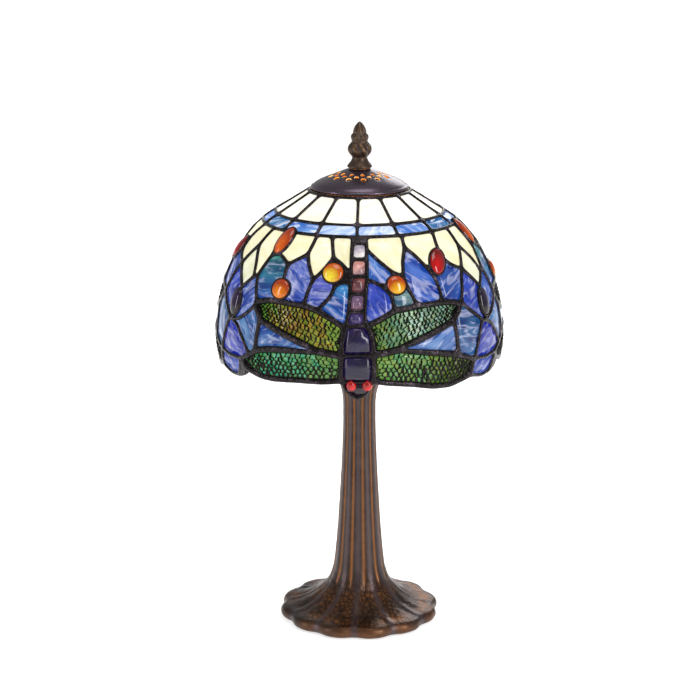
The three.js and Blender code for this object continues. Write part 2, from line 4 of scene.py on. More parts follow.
import bmesh
import bpy
from mathutils import Matrix, Vector, noise


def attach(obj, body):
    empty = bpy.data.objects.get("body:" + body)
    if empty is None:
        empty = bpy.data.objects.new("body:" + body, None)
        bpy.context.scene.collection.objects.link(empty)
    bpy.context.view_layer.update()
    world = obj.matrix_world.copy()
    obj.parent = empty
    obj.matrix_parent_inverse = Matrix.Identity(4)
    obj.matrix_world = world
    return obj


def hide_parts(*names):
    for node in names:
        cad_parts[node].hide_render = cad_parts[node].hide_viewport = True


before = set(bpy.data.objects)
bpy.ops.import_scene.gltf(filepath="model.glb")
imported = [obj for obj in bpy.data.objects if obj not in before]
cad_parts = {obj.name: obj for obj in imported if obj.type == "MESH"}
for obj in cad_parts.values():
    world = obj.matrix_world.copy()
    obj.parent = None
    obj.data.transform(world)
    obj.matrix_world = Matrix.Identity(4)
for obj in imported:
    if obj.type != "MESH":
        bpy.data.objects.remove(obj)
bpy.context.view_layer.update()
random.seed(12)

# Lengths are millimetres until a piece is finished. Azimuth is in degrees from the front,
# growing towards +X. Depth runs down the shade's outline from its crown.
thirds = (0, 120, 240)


# Camera, floor and light

stageLook = {
    "cameraPlace": (-0.0066, -1.383, 0.544),
    "cameraTilt": 75.83,
    "lens": 105,
    "floorSize": 12.0,
    "floorColour": (0.93, 0.93, 0.93),
    "floorGlow": 0.62,
    "worldColour": (1.0, 1.0, 1.0),
    "worldStrength": 0.42,   # what lights the lamp; the backdrop itself is white
}


def buildStage():
    camera = bpy.data.objects.new("viewCamera", bpy.data.cameras.new("viewCamera"))
    camera.data.lens = stageLook["lens"]
    camera.data.sensor_width = 36
    camera.data.clip_end = 50
    camera.location = stageLook["cameraPlace"]
    camera.rotation_euler = (math.radians(stageLook["cameraTilt"]), 0, 0)
    bpy.context.scene.collection.objects.link(camera)
    bpy.context.scene.camera = camera

    bm = bmesh.new()
    bmesh.ops.create_grid(bm, x_segments=1, y_segments=1, size=stageLook["floorSize"])
    mesh = bpy.data.meshes.new("floor")
    bm.to_mesh(mesh)
    bm.free()
    floor = bpy.data.objects.new("floor", mesh)
    floor.location.z = -0.0003
    bpy.context.scene.collection.objects.link(floor)
    paper = bpy.data.materials.new("floorPaper")
    paper.use_nodes = True
    shader = paper.node_tree.nodes["Principled BSDF"]
    shader.inputs["Base Color"].default_value = (*stageLook["floorColour"], 1)
    shader.inputs["Roughness"].default_value = 0.9
    shader.inputs["Specular IOR Level"].default_value = 0.1
    shader.inputs["Emission Color"].default_value = (1, 1, 1, 1)
    shader.inputs["Emission Strength"].default_value = stageLook["floorGlow"]
    mesh.materials.append(paper)

    world = bpy.data.worlds.new("studio")
    world.use_nodes = True
    background = world.node_tree.nodes["Background"]
    background.inputs["Color"].default_value = (*stageLook["worldColour"], 1)
    seen = addNode(world.node_tree, "ShaderNodeLightPath").outputs["Is Camera Ray"]
    strength = spread(world.node_tree, seen, stageLook["worldStrength"], 1.0)
    world.node_tree.links.new(strength, background.inputs["Strength"])
    bpy.context.scene.world = world
    bpy.context.scene.view_settings.view_transform = "Standard"

    softboxes = {
        "keyRight": ((1.1, -1.2, 0.75), (0.35, 1.3), 17),
        "fillLeft": ((-1.5, -0.7, 0.6), (0.25, 1.2), 8),
        "topSoft": ((0.1, -0.2, 1.8), (0.9, 0.9), 9),
        "backRim": ((0.4, 1.6, 0.9), (0.8, 0.8), 6),
    }
    for name, (place, size, power) in softboxes.items():
        light = bpy.data.lights.new(name, "AREA")
        light.shape = "RECTANGLE"
        light.size, light.size_y = size
        light.energy = power
        lamp = bpy.data.objects.new(name, light)
        lamp.location = place
        aim = Vector((0, 0, 0.17)) - Vector(place)
        lamp.rotation_euler = aim.to_track_quat("-Z", "Y").to_euler()
        bpy.context.scene.collection.objects.link(lamp)


# Materials

def tone(red, green, blue):
    return tuple(((c / 255 + 0.055) / 1.055) ** 2.4 if c > 10 else c / 255 / 12.92 for c in (red, green, blue))


def addNode(tree, kind, inputs=None, **settings):
    node = tree.nodes.new(kind)
    for name, value in settings.items():
        setattr(node, name, value)
    for socket, value in (inputs or {}).items():
        if isinstance(value, bpy.types.NodeSocket):
            tree.links.new(value, node.inputs[socket])
        else:
            node.inputs[socket].default_value = value
    return node


def newMaterial(name, **fixed):
    material = bpy.data.materials.new(name)
    material.use_nodes = True
    tree = material.node_tree
    shader = tree.nodes["Principled BSDF"]
    for socket, value in fixed.items():
        shader.inputs[socket.replace("_", " ")].default_value = value
    return material, tree, shader


def millimetres(tree, stretch=(1, 1, 1)):
    place = addNode(tree, "ShaderNodeTexCoord").outputs["Object"]
    scale = tuple(1000 * s for s in stretch)
    return addNode(tree, "ShaderNodeMapping", {"Vector": place, "Scale": scale}).outputs["Vector"]


def noiseAt(tree, place, scale, detail=4, roughness=0.55, distortion=0.0):
    return addNode(tree, "ShaderNodeTexNoise", {
        "Vector": place, "Scale": scale, "Detail": detail, "Roughness": roughness, "Distortion": distortion,
    }).outputs["Fac"]


def ramp(tree, factor, stops):
    node = addNode(tree, "ShaderNodeValToRGB", {"Fac": factor})
    elements = node.color_ramp.elements
    while len(elements) < len(stops):
        elements.new(0.5)
    for element, (position, colour) in zip(elements, stops):
        element.position = position
        element.color = (*colour, 1)
    return node.outputs["Color"]


def mixColours(tree, factor, first, second, blend="MIX"):
    node = addNode(tree, "ShaderNodeMix", data_type="RGBA", blend_type=blend)
    for socket, value in ((node.inputs[0], factor), (node.inputs[6], first), (node.inputs[7], second)):
        if isinstance(value, bpy.types.NodeSocket):
            tree.links.new(value, socket)
        else:
            socket.default_value = (*value, 1) if isinstance(value, tuple) else value
    return node.outputs[2]


def spread(tree, value, low, high, start=0.0, end=1.0):
    return addNode(tree, "ShaderNodeMapRange", {
        "Value": value, "From Min": start, "From Max": end, "To Min": low, "To Max": high,
    }).outputs["Result"]


def bumpFrom(tree, shader, height, distance, strength=1.0):
    node = addNode(tree, "ShaderNodeBump", {"Height": height, "Strength": strength, "Distance": distance * 0.001})
    tree.links.new(node.outputs["Normal"], shader.inputs["Normal"])


def attribute(tree, name, output="Color"):
    return addNode(tree, "ShaderNodeAttribute", attribute_name=name).outputs[output]


# Cast bronze: dark brown body, copper rubbed through in places, and a violet-grey painted sheen (a painted highlight)
# on the ridges.
def castBronze(name, dark, rubbed, paintedSheen, patina=True):
    material, tree, shader = newMaterial(name, Metallic=0.82)
    place = millimetres(tree)
    cloud = noiseAt(tree, place, 0.11, 5)
    grain = noiseAt(tree, place, 1.6, 6, 0.65)
    shades = [(0.3, tuple(0.62 * c for c in dark)), (0.55, dark), (0.8, tuple(1.35 * c for c in dark))]
    colour = ramp(tree, cloud, shades)
    if patina:
        wearAndSheen = addNode(tree, "ShaderNodeSeparateColor", {"Color": attribute(tree, "patina")})
        rub = addNode(tree, "ShaderNodeMath", {0: wearAndSheen.outputs["Red"], 1: spread(tree, grain, 0.2, 1.6, 0.3, 0.7)},
                      operation="MULTIPLY", use_clamp=True).outputs[0]
        # Green channel: painted sheen, a lighter violet-grey laid where the light catches the reeds and ridges.
        colour = mixColours(tree, wearAndSheen.outputs["Green"], colour, paintedSheen)
        colour = mixColours(tree, rub, colour, rubbed)
        bent = addNode(tree, "ShaderNodeMapping", {"Vector": place, "Scale": (1, 1, 0.6)}).outputs["Vector"]
        cells = addNode(tree, "ShaderNodeTexVoronoi", {"Vector": bent, "Scale": 0.3},
                        feature="DISTANCE_TO_EDGE").outputs["Distance"]
        etched = addNode(tree, "ShaderNodeMath", {0: spread(tree, cells, 0.8, 0, 0.04, 0.2), 1: wearAndSheen.outputs["Blue"]},
                         operation="MULTIPLY", use_clamp=True).outputs[0]
        colour = mixColours(tree, etched, colour, tuple(0.35 * c for c in dark))
        grain = addNode(tree, "ShaderNodeMath", {0: grain, 1: etched}, operation="SUBTRACT").outputs[0]
    else:
        colour = mixColours(tree, spread(tree, grain, 0, 0.8, 0.45, 0.72), colour, rubbed)
    tree.links.new(colour, shader.inputs["Base Color"])
    tree.links.new(spread(tree, grain, 0.3, 0.52, 0.3, 0.7), shader.inputs["Roughness"])
    bumpFrom(tree, shader, grain, 0.12, 0.6)
    return material


def plainMetal(name, colour, grainScale=2.0, roughness=(0.25, 0.45), metallic=0.95, bump=0.04, stretch=(1, 1, 1)):
    material, tree, shader = newMaterial(name, Metallic=metallic)
    grain = noiseAt(tree, millimetres(tree, stretch), grainScale, 5, 0.6)
    shades = [(0.25, tuple(0.6 * c for c in colour)), (0.55, colour), (0.8, tuple(min(1, 1.2 * c) for c in colour))]
    tree.links.new(ramp(tree, grain, shades), shader.inputs["Base Color"])
    tree.links.new(spread(tree, grain, *roughness, 0.3, 0.7), shader.inputs["Roughness"])
    bumpFrom(tree, shader, grain, bump)
    return material


# Opalescent glass. The bulb's light shining through it is painted as emission, scaled per vertex by a painted
# backlight factor. Each pane carries its own colour, painted backlight and flow direction.
def opalGlass(name, streak, streakShare, depthShare, strength, roughness=0.16, flow=(0.045, 0.15)):
    material, tree, shader = newMaterial(name, Roughness=roughness, Emission_Strength=strength, IOR=1.5)
    flowMap = addNode(tree, "ShaderNodeUVMap", uv_map="glassFlow").outputs["UV"]
    place = addNode(tree, "ShaderNodeMapping", {"Vector": flowMap, "Scale": (flow[0], flow[1], 1)}).outputs["Vector"]
    cloud = noiseAt(tree, place, 1.0, 3, 0.5, 0.6)
    wisps = noiseAt(tree, place, 1.5, 3, 0.5, 1.4)
    pane = attribute(tree, "paneTone")
    deep = mixColours(tree, 1.0, pane, depthShare, "MULTIPLY")
    colour = mixColours(tree, spread(tree, cloud, 0, 1, 0.4, 0.62), deep, pane)
    share = spread(tree, wisps, 0, streakShare, 0.5, 0.68)
    colour = mixColours(tree, share, colour, streak)
    paintedBacklight = attribute(tree, "paintedBacklight", "Fac")
    paintedBacklightColour = addNode(tree, "ShaderNodeVectorMath", {0: colour, "Scale": paintedBacklight}, operation="SCALE").outputs["Vector"]
    tree.links.new(paintedBacklightColour, shader.inputs["Emission Color"])
    tree.links.new(mixColours(tree, 1.0, colour, (0.14, 0.14, 0.14), "MULTIPLY"), shader.inputs["Base Color"])
    bumpFrom(tree, shader, wisps, 0.2, 0.5)
    return material


# Jewel glass: the bulb's light through it is painted as emission.
def jewelGlass(name, roughness=0.04, strength=1.0):
    material, tree, shader = newMaterial(name, Roughness=roughness, Emission_Strength=strength, IOR=1.5)
    swirl = noiseAt(tree, millimetres(tree), 0.35, 3, 0.5, 1.2)
    pane = attribute(tree, "paneTone")
    colour = mixColours(tree, spread(tree, swirl, 0.75, 1.0, 0.3, 0.65), (0.0, 0.0, 0.0), pane)
    paintedBacklight = attribute(tree, "paintedBacklight", "Fac")
    lit = addNode(tree, "ShaderNodeVectorMath", {0: colour, "Scale": paintedBacklight}, operation="SCALE").outputs["Vector"]
    tree.links.new(lit, shader.inputs["Emission Color"])
    tree.links.new(mixColours(tree, 1.0, colour, (0.1, 0.1, 0.1), "MULTIPLY"), shader.inputs["Base Color"])
    return material


def leadPatina(name, colour, paintedSheen, roughness):
    material, tree, shader = newMaterial(name, Metallic=0.75)
    place = millimetres(tree)
    cloud = noiseAt(tree, place, 0.16, 4)
    lumps = noiseAt(tree, place, 0.42, 3, 0.5, 0.5)
    # Lighter violet-grey patches, laid by noise, are a painted sheen standing in for highlights on the solder.
    base = ramp(tree, cloud, [(0.35, tuple(0.55 * c for c in colour)), (0.55, colour), (0.72, paintedSheen)])
    tree.links.new(base, shader.inputs["Base Color"])
    tree.links.new(spread(tree, lumps, *roughness, 0.35, 0.65), shader.inputs["Roughness"])
    bumpFrom(tree, shader, lumps, 0.9, 0.9)
    return material


def softGoods(name, colour, scale, roughness, bump):
    material, tree, shader = newMaterial(name)
    fibre = noiseAt(tree, millimetres(tree), scale, 6, 0.7)
    shades = [(0.3, tuple(0.5 * c for c in colour)), (0.6, colour), (0.8, tuple(min(1, 1.5 * c) for c in colour))]
    tree.links.new(ramp(tree, fibre, shades), shader.inputs["Base Color"])
    tree.links.new(spread(tree, fibre, *roughness), shader.inputs["Roughness"])
    bumpFrom(tree, shader, fibre, bump)
    return material


def frostedBulb(name):
    material, tree, shader = newMaterial(name, Roughness=0.45, Emission_Strength=14.0)
    cloud = noiseAt(tree, millimetres(tree), 0.08, 2)
    warm = ramp(tree, cloud, [(0.3, tone(255, 214, 150)), (0.7, tone(255, 238, 205))])
    tree.links.new(warm, shader.inputs["Emission Color"])
    tree.links.new(warm, shader.inputs["Base Color"])
    return material


# The bare copper inside of the cap, with the light of the bulb below it painted on as emission.
def copperWithPaintedLampLight(name):
    material, tree, shader = newMaterial(name, Metallic=0.4, Roughness=0.5, Emission_Strength=1.0)
    cloud = noiseAt(tree, millimetres(tree), 0.14, 3)
    lit = ramp(tree, cloud, [(0.35, tone(176, 84, 16)), (0.52, tone(240, 150, 40)), (0.68, tone(255, 232, 170))])
    tree.links.new(lit, shader.inputs["Emission Color"])
    tree.links.new(mixColours(tree, 1.0, lit, (0.5, 0.4, 0.3), "MULTIPLY"), shader.inputs["Base Color"])
    return material


look = {
    "bronze": castBronze("bronze", tone(62, 49, 44), tone(146, 92, 46), tone(84, 74, 78)),
    "plainBronze": castBronze("plainBronze", tone(62, 46, 38), tone(150, 96, 52), tone(92, 82, 88), patina=False),
    "darkBronze": castBronze("darkBronze", tone(44, 36, 32), tone(120, 92, 66), tone(70, 62, 62)),
    "capBronze": plainMetal("capBronze", tone(84, 73, 84), 3.0, (0.22, 0.32), 0.85, 0.02, (1, 1, 0.3)),
    "capInsidePaintedLight": copperWithPaintedLampLight("capInsidePaintedLight"),
    "solder": leadPatina("solder", tone(30, 24, 26), tone(70, 60, 70), (0.14, 0.3)),
    "wingMetal": leadPatina("wingMetal", tone(26, 23, 20), tone(56, 54, 50), (0.28, 0.45)),
    "brass": plainMetal("brass", tone(176, 136, 72)),
    "steel": plainMetal("steel", tone(160, 162, 165)),
    "iron": plainMetal("iron", tone(64, 62, 62), 1.0, (0.6, 0.8), 0.7, 0.2),
    "felt": softGoods("felt", tone(38, 58, 44), 2.4, (0.85, 0.98), 0.3),
    "rubber": softGoods("rubber", tone(30, 29, 29), 1.2, (0.55, 0.75), 0.05),
    "phenolic": softGoods("phenolic", tone(44, 34, 30), 0.4, (0.3, 0.45), 0.02),
    "frosted": frostedBulb("frosted"),
    "crown": opalGlass("crownGlass", tone(255, 246, 222), 0.4, (0.95, 0.93, 0.84), 0.86),
    "band": opalGlass("bandGlass", tone(236, 242, 255), 0.85, (0.4, 0.55, 0.8), 0.9),
    "petal": opalGlass("petalGlass", tone(255, 250, 232), 0.4, (0.93, 0.9, 0.8), 0.86),
    "sky": opalGlass("skyGlass", tone(196, 200, 236), 0.72, (0.12, 0.28, 0.56), 0.72),
    "tail": opalGlass("tailGlass", tone(190, 150, 170), 0.08, (0.4, 0.4, 0.5), 0.72),
    "wing": opalGlass("wingGlass", tone(206, 206, 120), 0.3, (0.4, 0.6, 0.36), 0.8, 0.2, (0.25, 0.25)),
    "jewel": jewelGlass("jewelGlass"),
}

buildStage()
print("stage and materials ready")


# Working helpers

def polar(azimuth, radius, height):
    angle = math.radians(azimuth)
    return Vector((radius * math.sin(angle), -radius * math.cos(angle), height))


def azimuthOf(point):
    return math.degrees(math.atan2(point.x, -point.y))


def finishPiece(name, bm, body, material, replaced=(), levels=0, turned=0, smooth=True):
    if turned:
        turn = Matrix.Rotation(math.radians(turned), 3, "Z")
        bmesh.ops.rotate(bm, verts=bm.verts, cent=(0, 0, 0), matrix=turn)
    bmesh.ops.scale(bm, vec=(0.001, 0.001, 0.001), verts=bm.verts)
    for face in bm.faces:
        face.smooth = smooth
    mesh = bpy.data.meshes.new(name)
    bm.to_mesh(mesh)
    bm.free()
    mesh.materials.append(material)
    piece = bpy.data.objects.new(name, mesh)
    bpy.context.scene.collection.objects.link(piece)
    if levels:
        subdivision = piece.modifiers.new("Subdivision", "SUBSURF")
        subdivision.levels = levels
        subdivision.render_levels = levels
    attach(piece, body)
    if replaced:
        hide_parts(*replaced)
    return piece


def spinProfile(bm, profile, steps, closed=False):
    verts = [bm.verts.new((0, -radius, height)) for radius, height in profile]
    edges = [bm.edges.new(pair) for pair in zip(verts, verts[1:])]
    if closed:
        edges.append(bm.edges.new((verts[-1], verts[0])))
    bmesh.ops.spin(bm, geom=verts + edges, cent=(0, 0, 0), axis=(0, 0, 1), angle=2 * math.pi,
                   steps=steps, use_merge=True)
    bmesh.ops.remove_doubles(bm, verts=bm.verts, dist=0.002)


def rounded(points, radius, segments=3):
    result = [tuple(points[0])]
    for before, here, after in zip(points, points[1:], points[2:]):
        before, here, after = Vector(before), Vector(here), Vector(after)
        cut = min(radius, (before - here).length * 0.45, (after - here).length * 0.45)
        start = here + (before - here).normalized() * cut
        end = here + (after - here).normalized() * cut
        for k in range(segments + 1):
            t = k / segments
            result.append(tuple(start * (1 - t) ** 2 + here * 2 * t * (1 - t) + end * t * t))
    result.append(tuple(points[-1]))
    return result


def turnedPiece(name, profile, body, material, replaced, radius=0.5, steps=64):
    closed = profile[0][0] > 0 or profile[-1][0] > 0
    points = list(profile) + ([profile[0]] if closed else [])
    smoothed = rounded(points, radius)
    bm = bmesh.new()
    spinProfile(bm, smoothed[:-1] if closed else smoothed, steps, closed)
    bmesh.ops.recalc_face_normals(bm, faces=bm.faces)
    return finishPiece(name, bm, body, material, replaced)


def alongSpline(points, count):
    points = [Vector(point) for point in points]
    padded = [2 * points[0] - points[1], *points, 2 * points[-1] - points[-2]]
    result = []
    spans = len(points) - 1
    for i in range(count + 1):
        where = min(i * spans / count, spans - 1e-6)
        k, t = int(where), where - int(where)
        a, b, c, d = padded[k:k + 4]
        result.append(0.5 * (2 * b + (c - a) * t + (2 * a - 5 * b + 4 * c - d) * t * t
                             + (3 * b - a - 3 * c + d) * t ** 3))
    return result


def sweptRod(name, path, radius):
    curve = bpy.data.curves.new(name, "CURVE")
    curve.dimensions = "3D"
    curve.bevel_depth = radius
    curve.bevel_resolution = 4
    curve.use_fill_caps = True
    spline = curve.splines.new("POLY")
    spline.points.add(len(path) - 1)
    for point, place in zip(spline.points, path):
        point.co = (*place, 1)
    bar = bpy.data.objects.new(name, curve)
    bpy.context.scene.collection.objects.link(bar)
    bpy.context.view_layer.update()
    mesh = bpy.data.meshes.new_from_object(bar.evaluated_get(bpy.context.evaluated_depsgraph_get()))
    bpy.data.objects.remove(bar)
    bpy.data.curves.remove(curve)
    return mesh


# The shade's outline: a cone, a long curve to the belly and a short tuck inwards.

shadeShape = {
    "top": (33.0, 310.0),
    "crownFoot": (62.0, 292.0),
    "crownLead": (81.7, 278.2),
    "bellyLead": (100.0, 248.0),
    "belly": (100.0, 208.0),
    "tuckRadius": 60.0,
    "tuckLength": 28.3,
    "drawingDepth": 158.0,
    "degreeWidth": 1.6,      # width of a degree on the flat drawing
    "beadTop": 0.55,         # lead ridge above the outline
    "beadFoot": -0.85,       # where the lead meets the glass
    "backFoot": -2.5,
    "backTop": -3.7,
    "glassFace": -0.8,
    "glassBack": -2.6,
    "segment": 5.0,          # longest straight run of lead
    "wander": 0.4,           # unevenness of the solder
}


def outlineTable():
    shape = shadeShape
    a, b, c, d = (Vector(shape[key]) for key in ("crownFoot", "crownLead", "bellyLead", "belly"))
    points = [Vector(shape["top"]).lerp(a, i / 20) for i in range(20)]
    for i in range(120):
        t = i / 120
        points.append(a * (1 - t) ** 3 + b * 3 * t * (1 - t) ** 2 + c * 3 * t * t * (1 - t) + d * t ** 3)
    radius = shape["tuckRadius"]
    middle = d - Vector((radius, 0))
    for i in range(41):
        angle = -shape["tuckLength"] / radius * i / 40
        points.append(middle + radius * Vector((math.cos(angle), math.sin(angle))))
    lengths = [0.0]
    for before, after in zip(points, points[1:]):
        lengths.append(lengths[-1] + (after - before).length)
    scale = shape["drawingDepth"] / lengths[-1]
    return points, [length * scale for length in lengths]


outlinePoints, outlineDepths = outlineTable()


def outlineAt(depth, lift=0.0):
    depth = max(0.0, min(depth, outlineDepths[-1]))
    low, high = 1, len(outlineDepths) - 1
    while low < high:
        middle = (low + high) // 2
        if outlineDepths[middle] < depth:
            low = middle + 1
        else:
            high = middle
    k = low
    before, after = outlinePoints[k - 1], outlinePoints[k]
    share = (depth - outlineDepths[k - 1]) / (outlineDepths[k] - outlineDepths[k - 1])
    along = (outlinePoints[min(k + 1, len(outlinePoints) - 1)] - outlinePoints[max(k - 2, 0)]).normalized()
    return before.lerp(after, share) + Vector((-along.y, along.x)) * lift


def onShade(azimuth, depth, lift=0.0):
    radius, height = outlineAt(depth, lift)
    return polar(azimuth, radius, height)


def depthOfHeight(height):
    low, high = 0, len(outlinePoints) - 1
    while high - low > 1:
        middle = (low + high) // 2
        if outlinePoints[middle].y > height:
            low = middle
        else:
            high = middle
    top, bottom = outlinePoints[low].y, outlinePoints[high].y
    return outlineDepths[low] + (outlineDepths[high] - outlineDepths[low]) * (top - height) / (top - bottom)


# The drawing of one third of the shade, as cut: each pane's outline on the lead's centre lines as
# (azimuth, depth), with its glass colour, one or two tones from its top to its bottom.

crownRow = [([(a, 2.6), (a + 24, 2.6), (a + 24, 29.2), (a, 29.2)], [(255, 252, 240)])
            for a in (-49.8, -25.8, -1.8, 22.2, 46.2)]
bandTones = [(92, 140, 205), (196, 214, 246), (206, 220, 248), (104, 148, 218), (52, 112, 160)]
bandRow = [([(a, 29.2), (a + 24, 29.2), (a + 24, 39.8), (a, 39.8)], [colour])
           for a, colour in zip((-49.8, -25.8, -1.8, 22.2, 46.2), bandTones)]
cream = [(252, 248, 214), (250, 246, 208)]

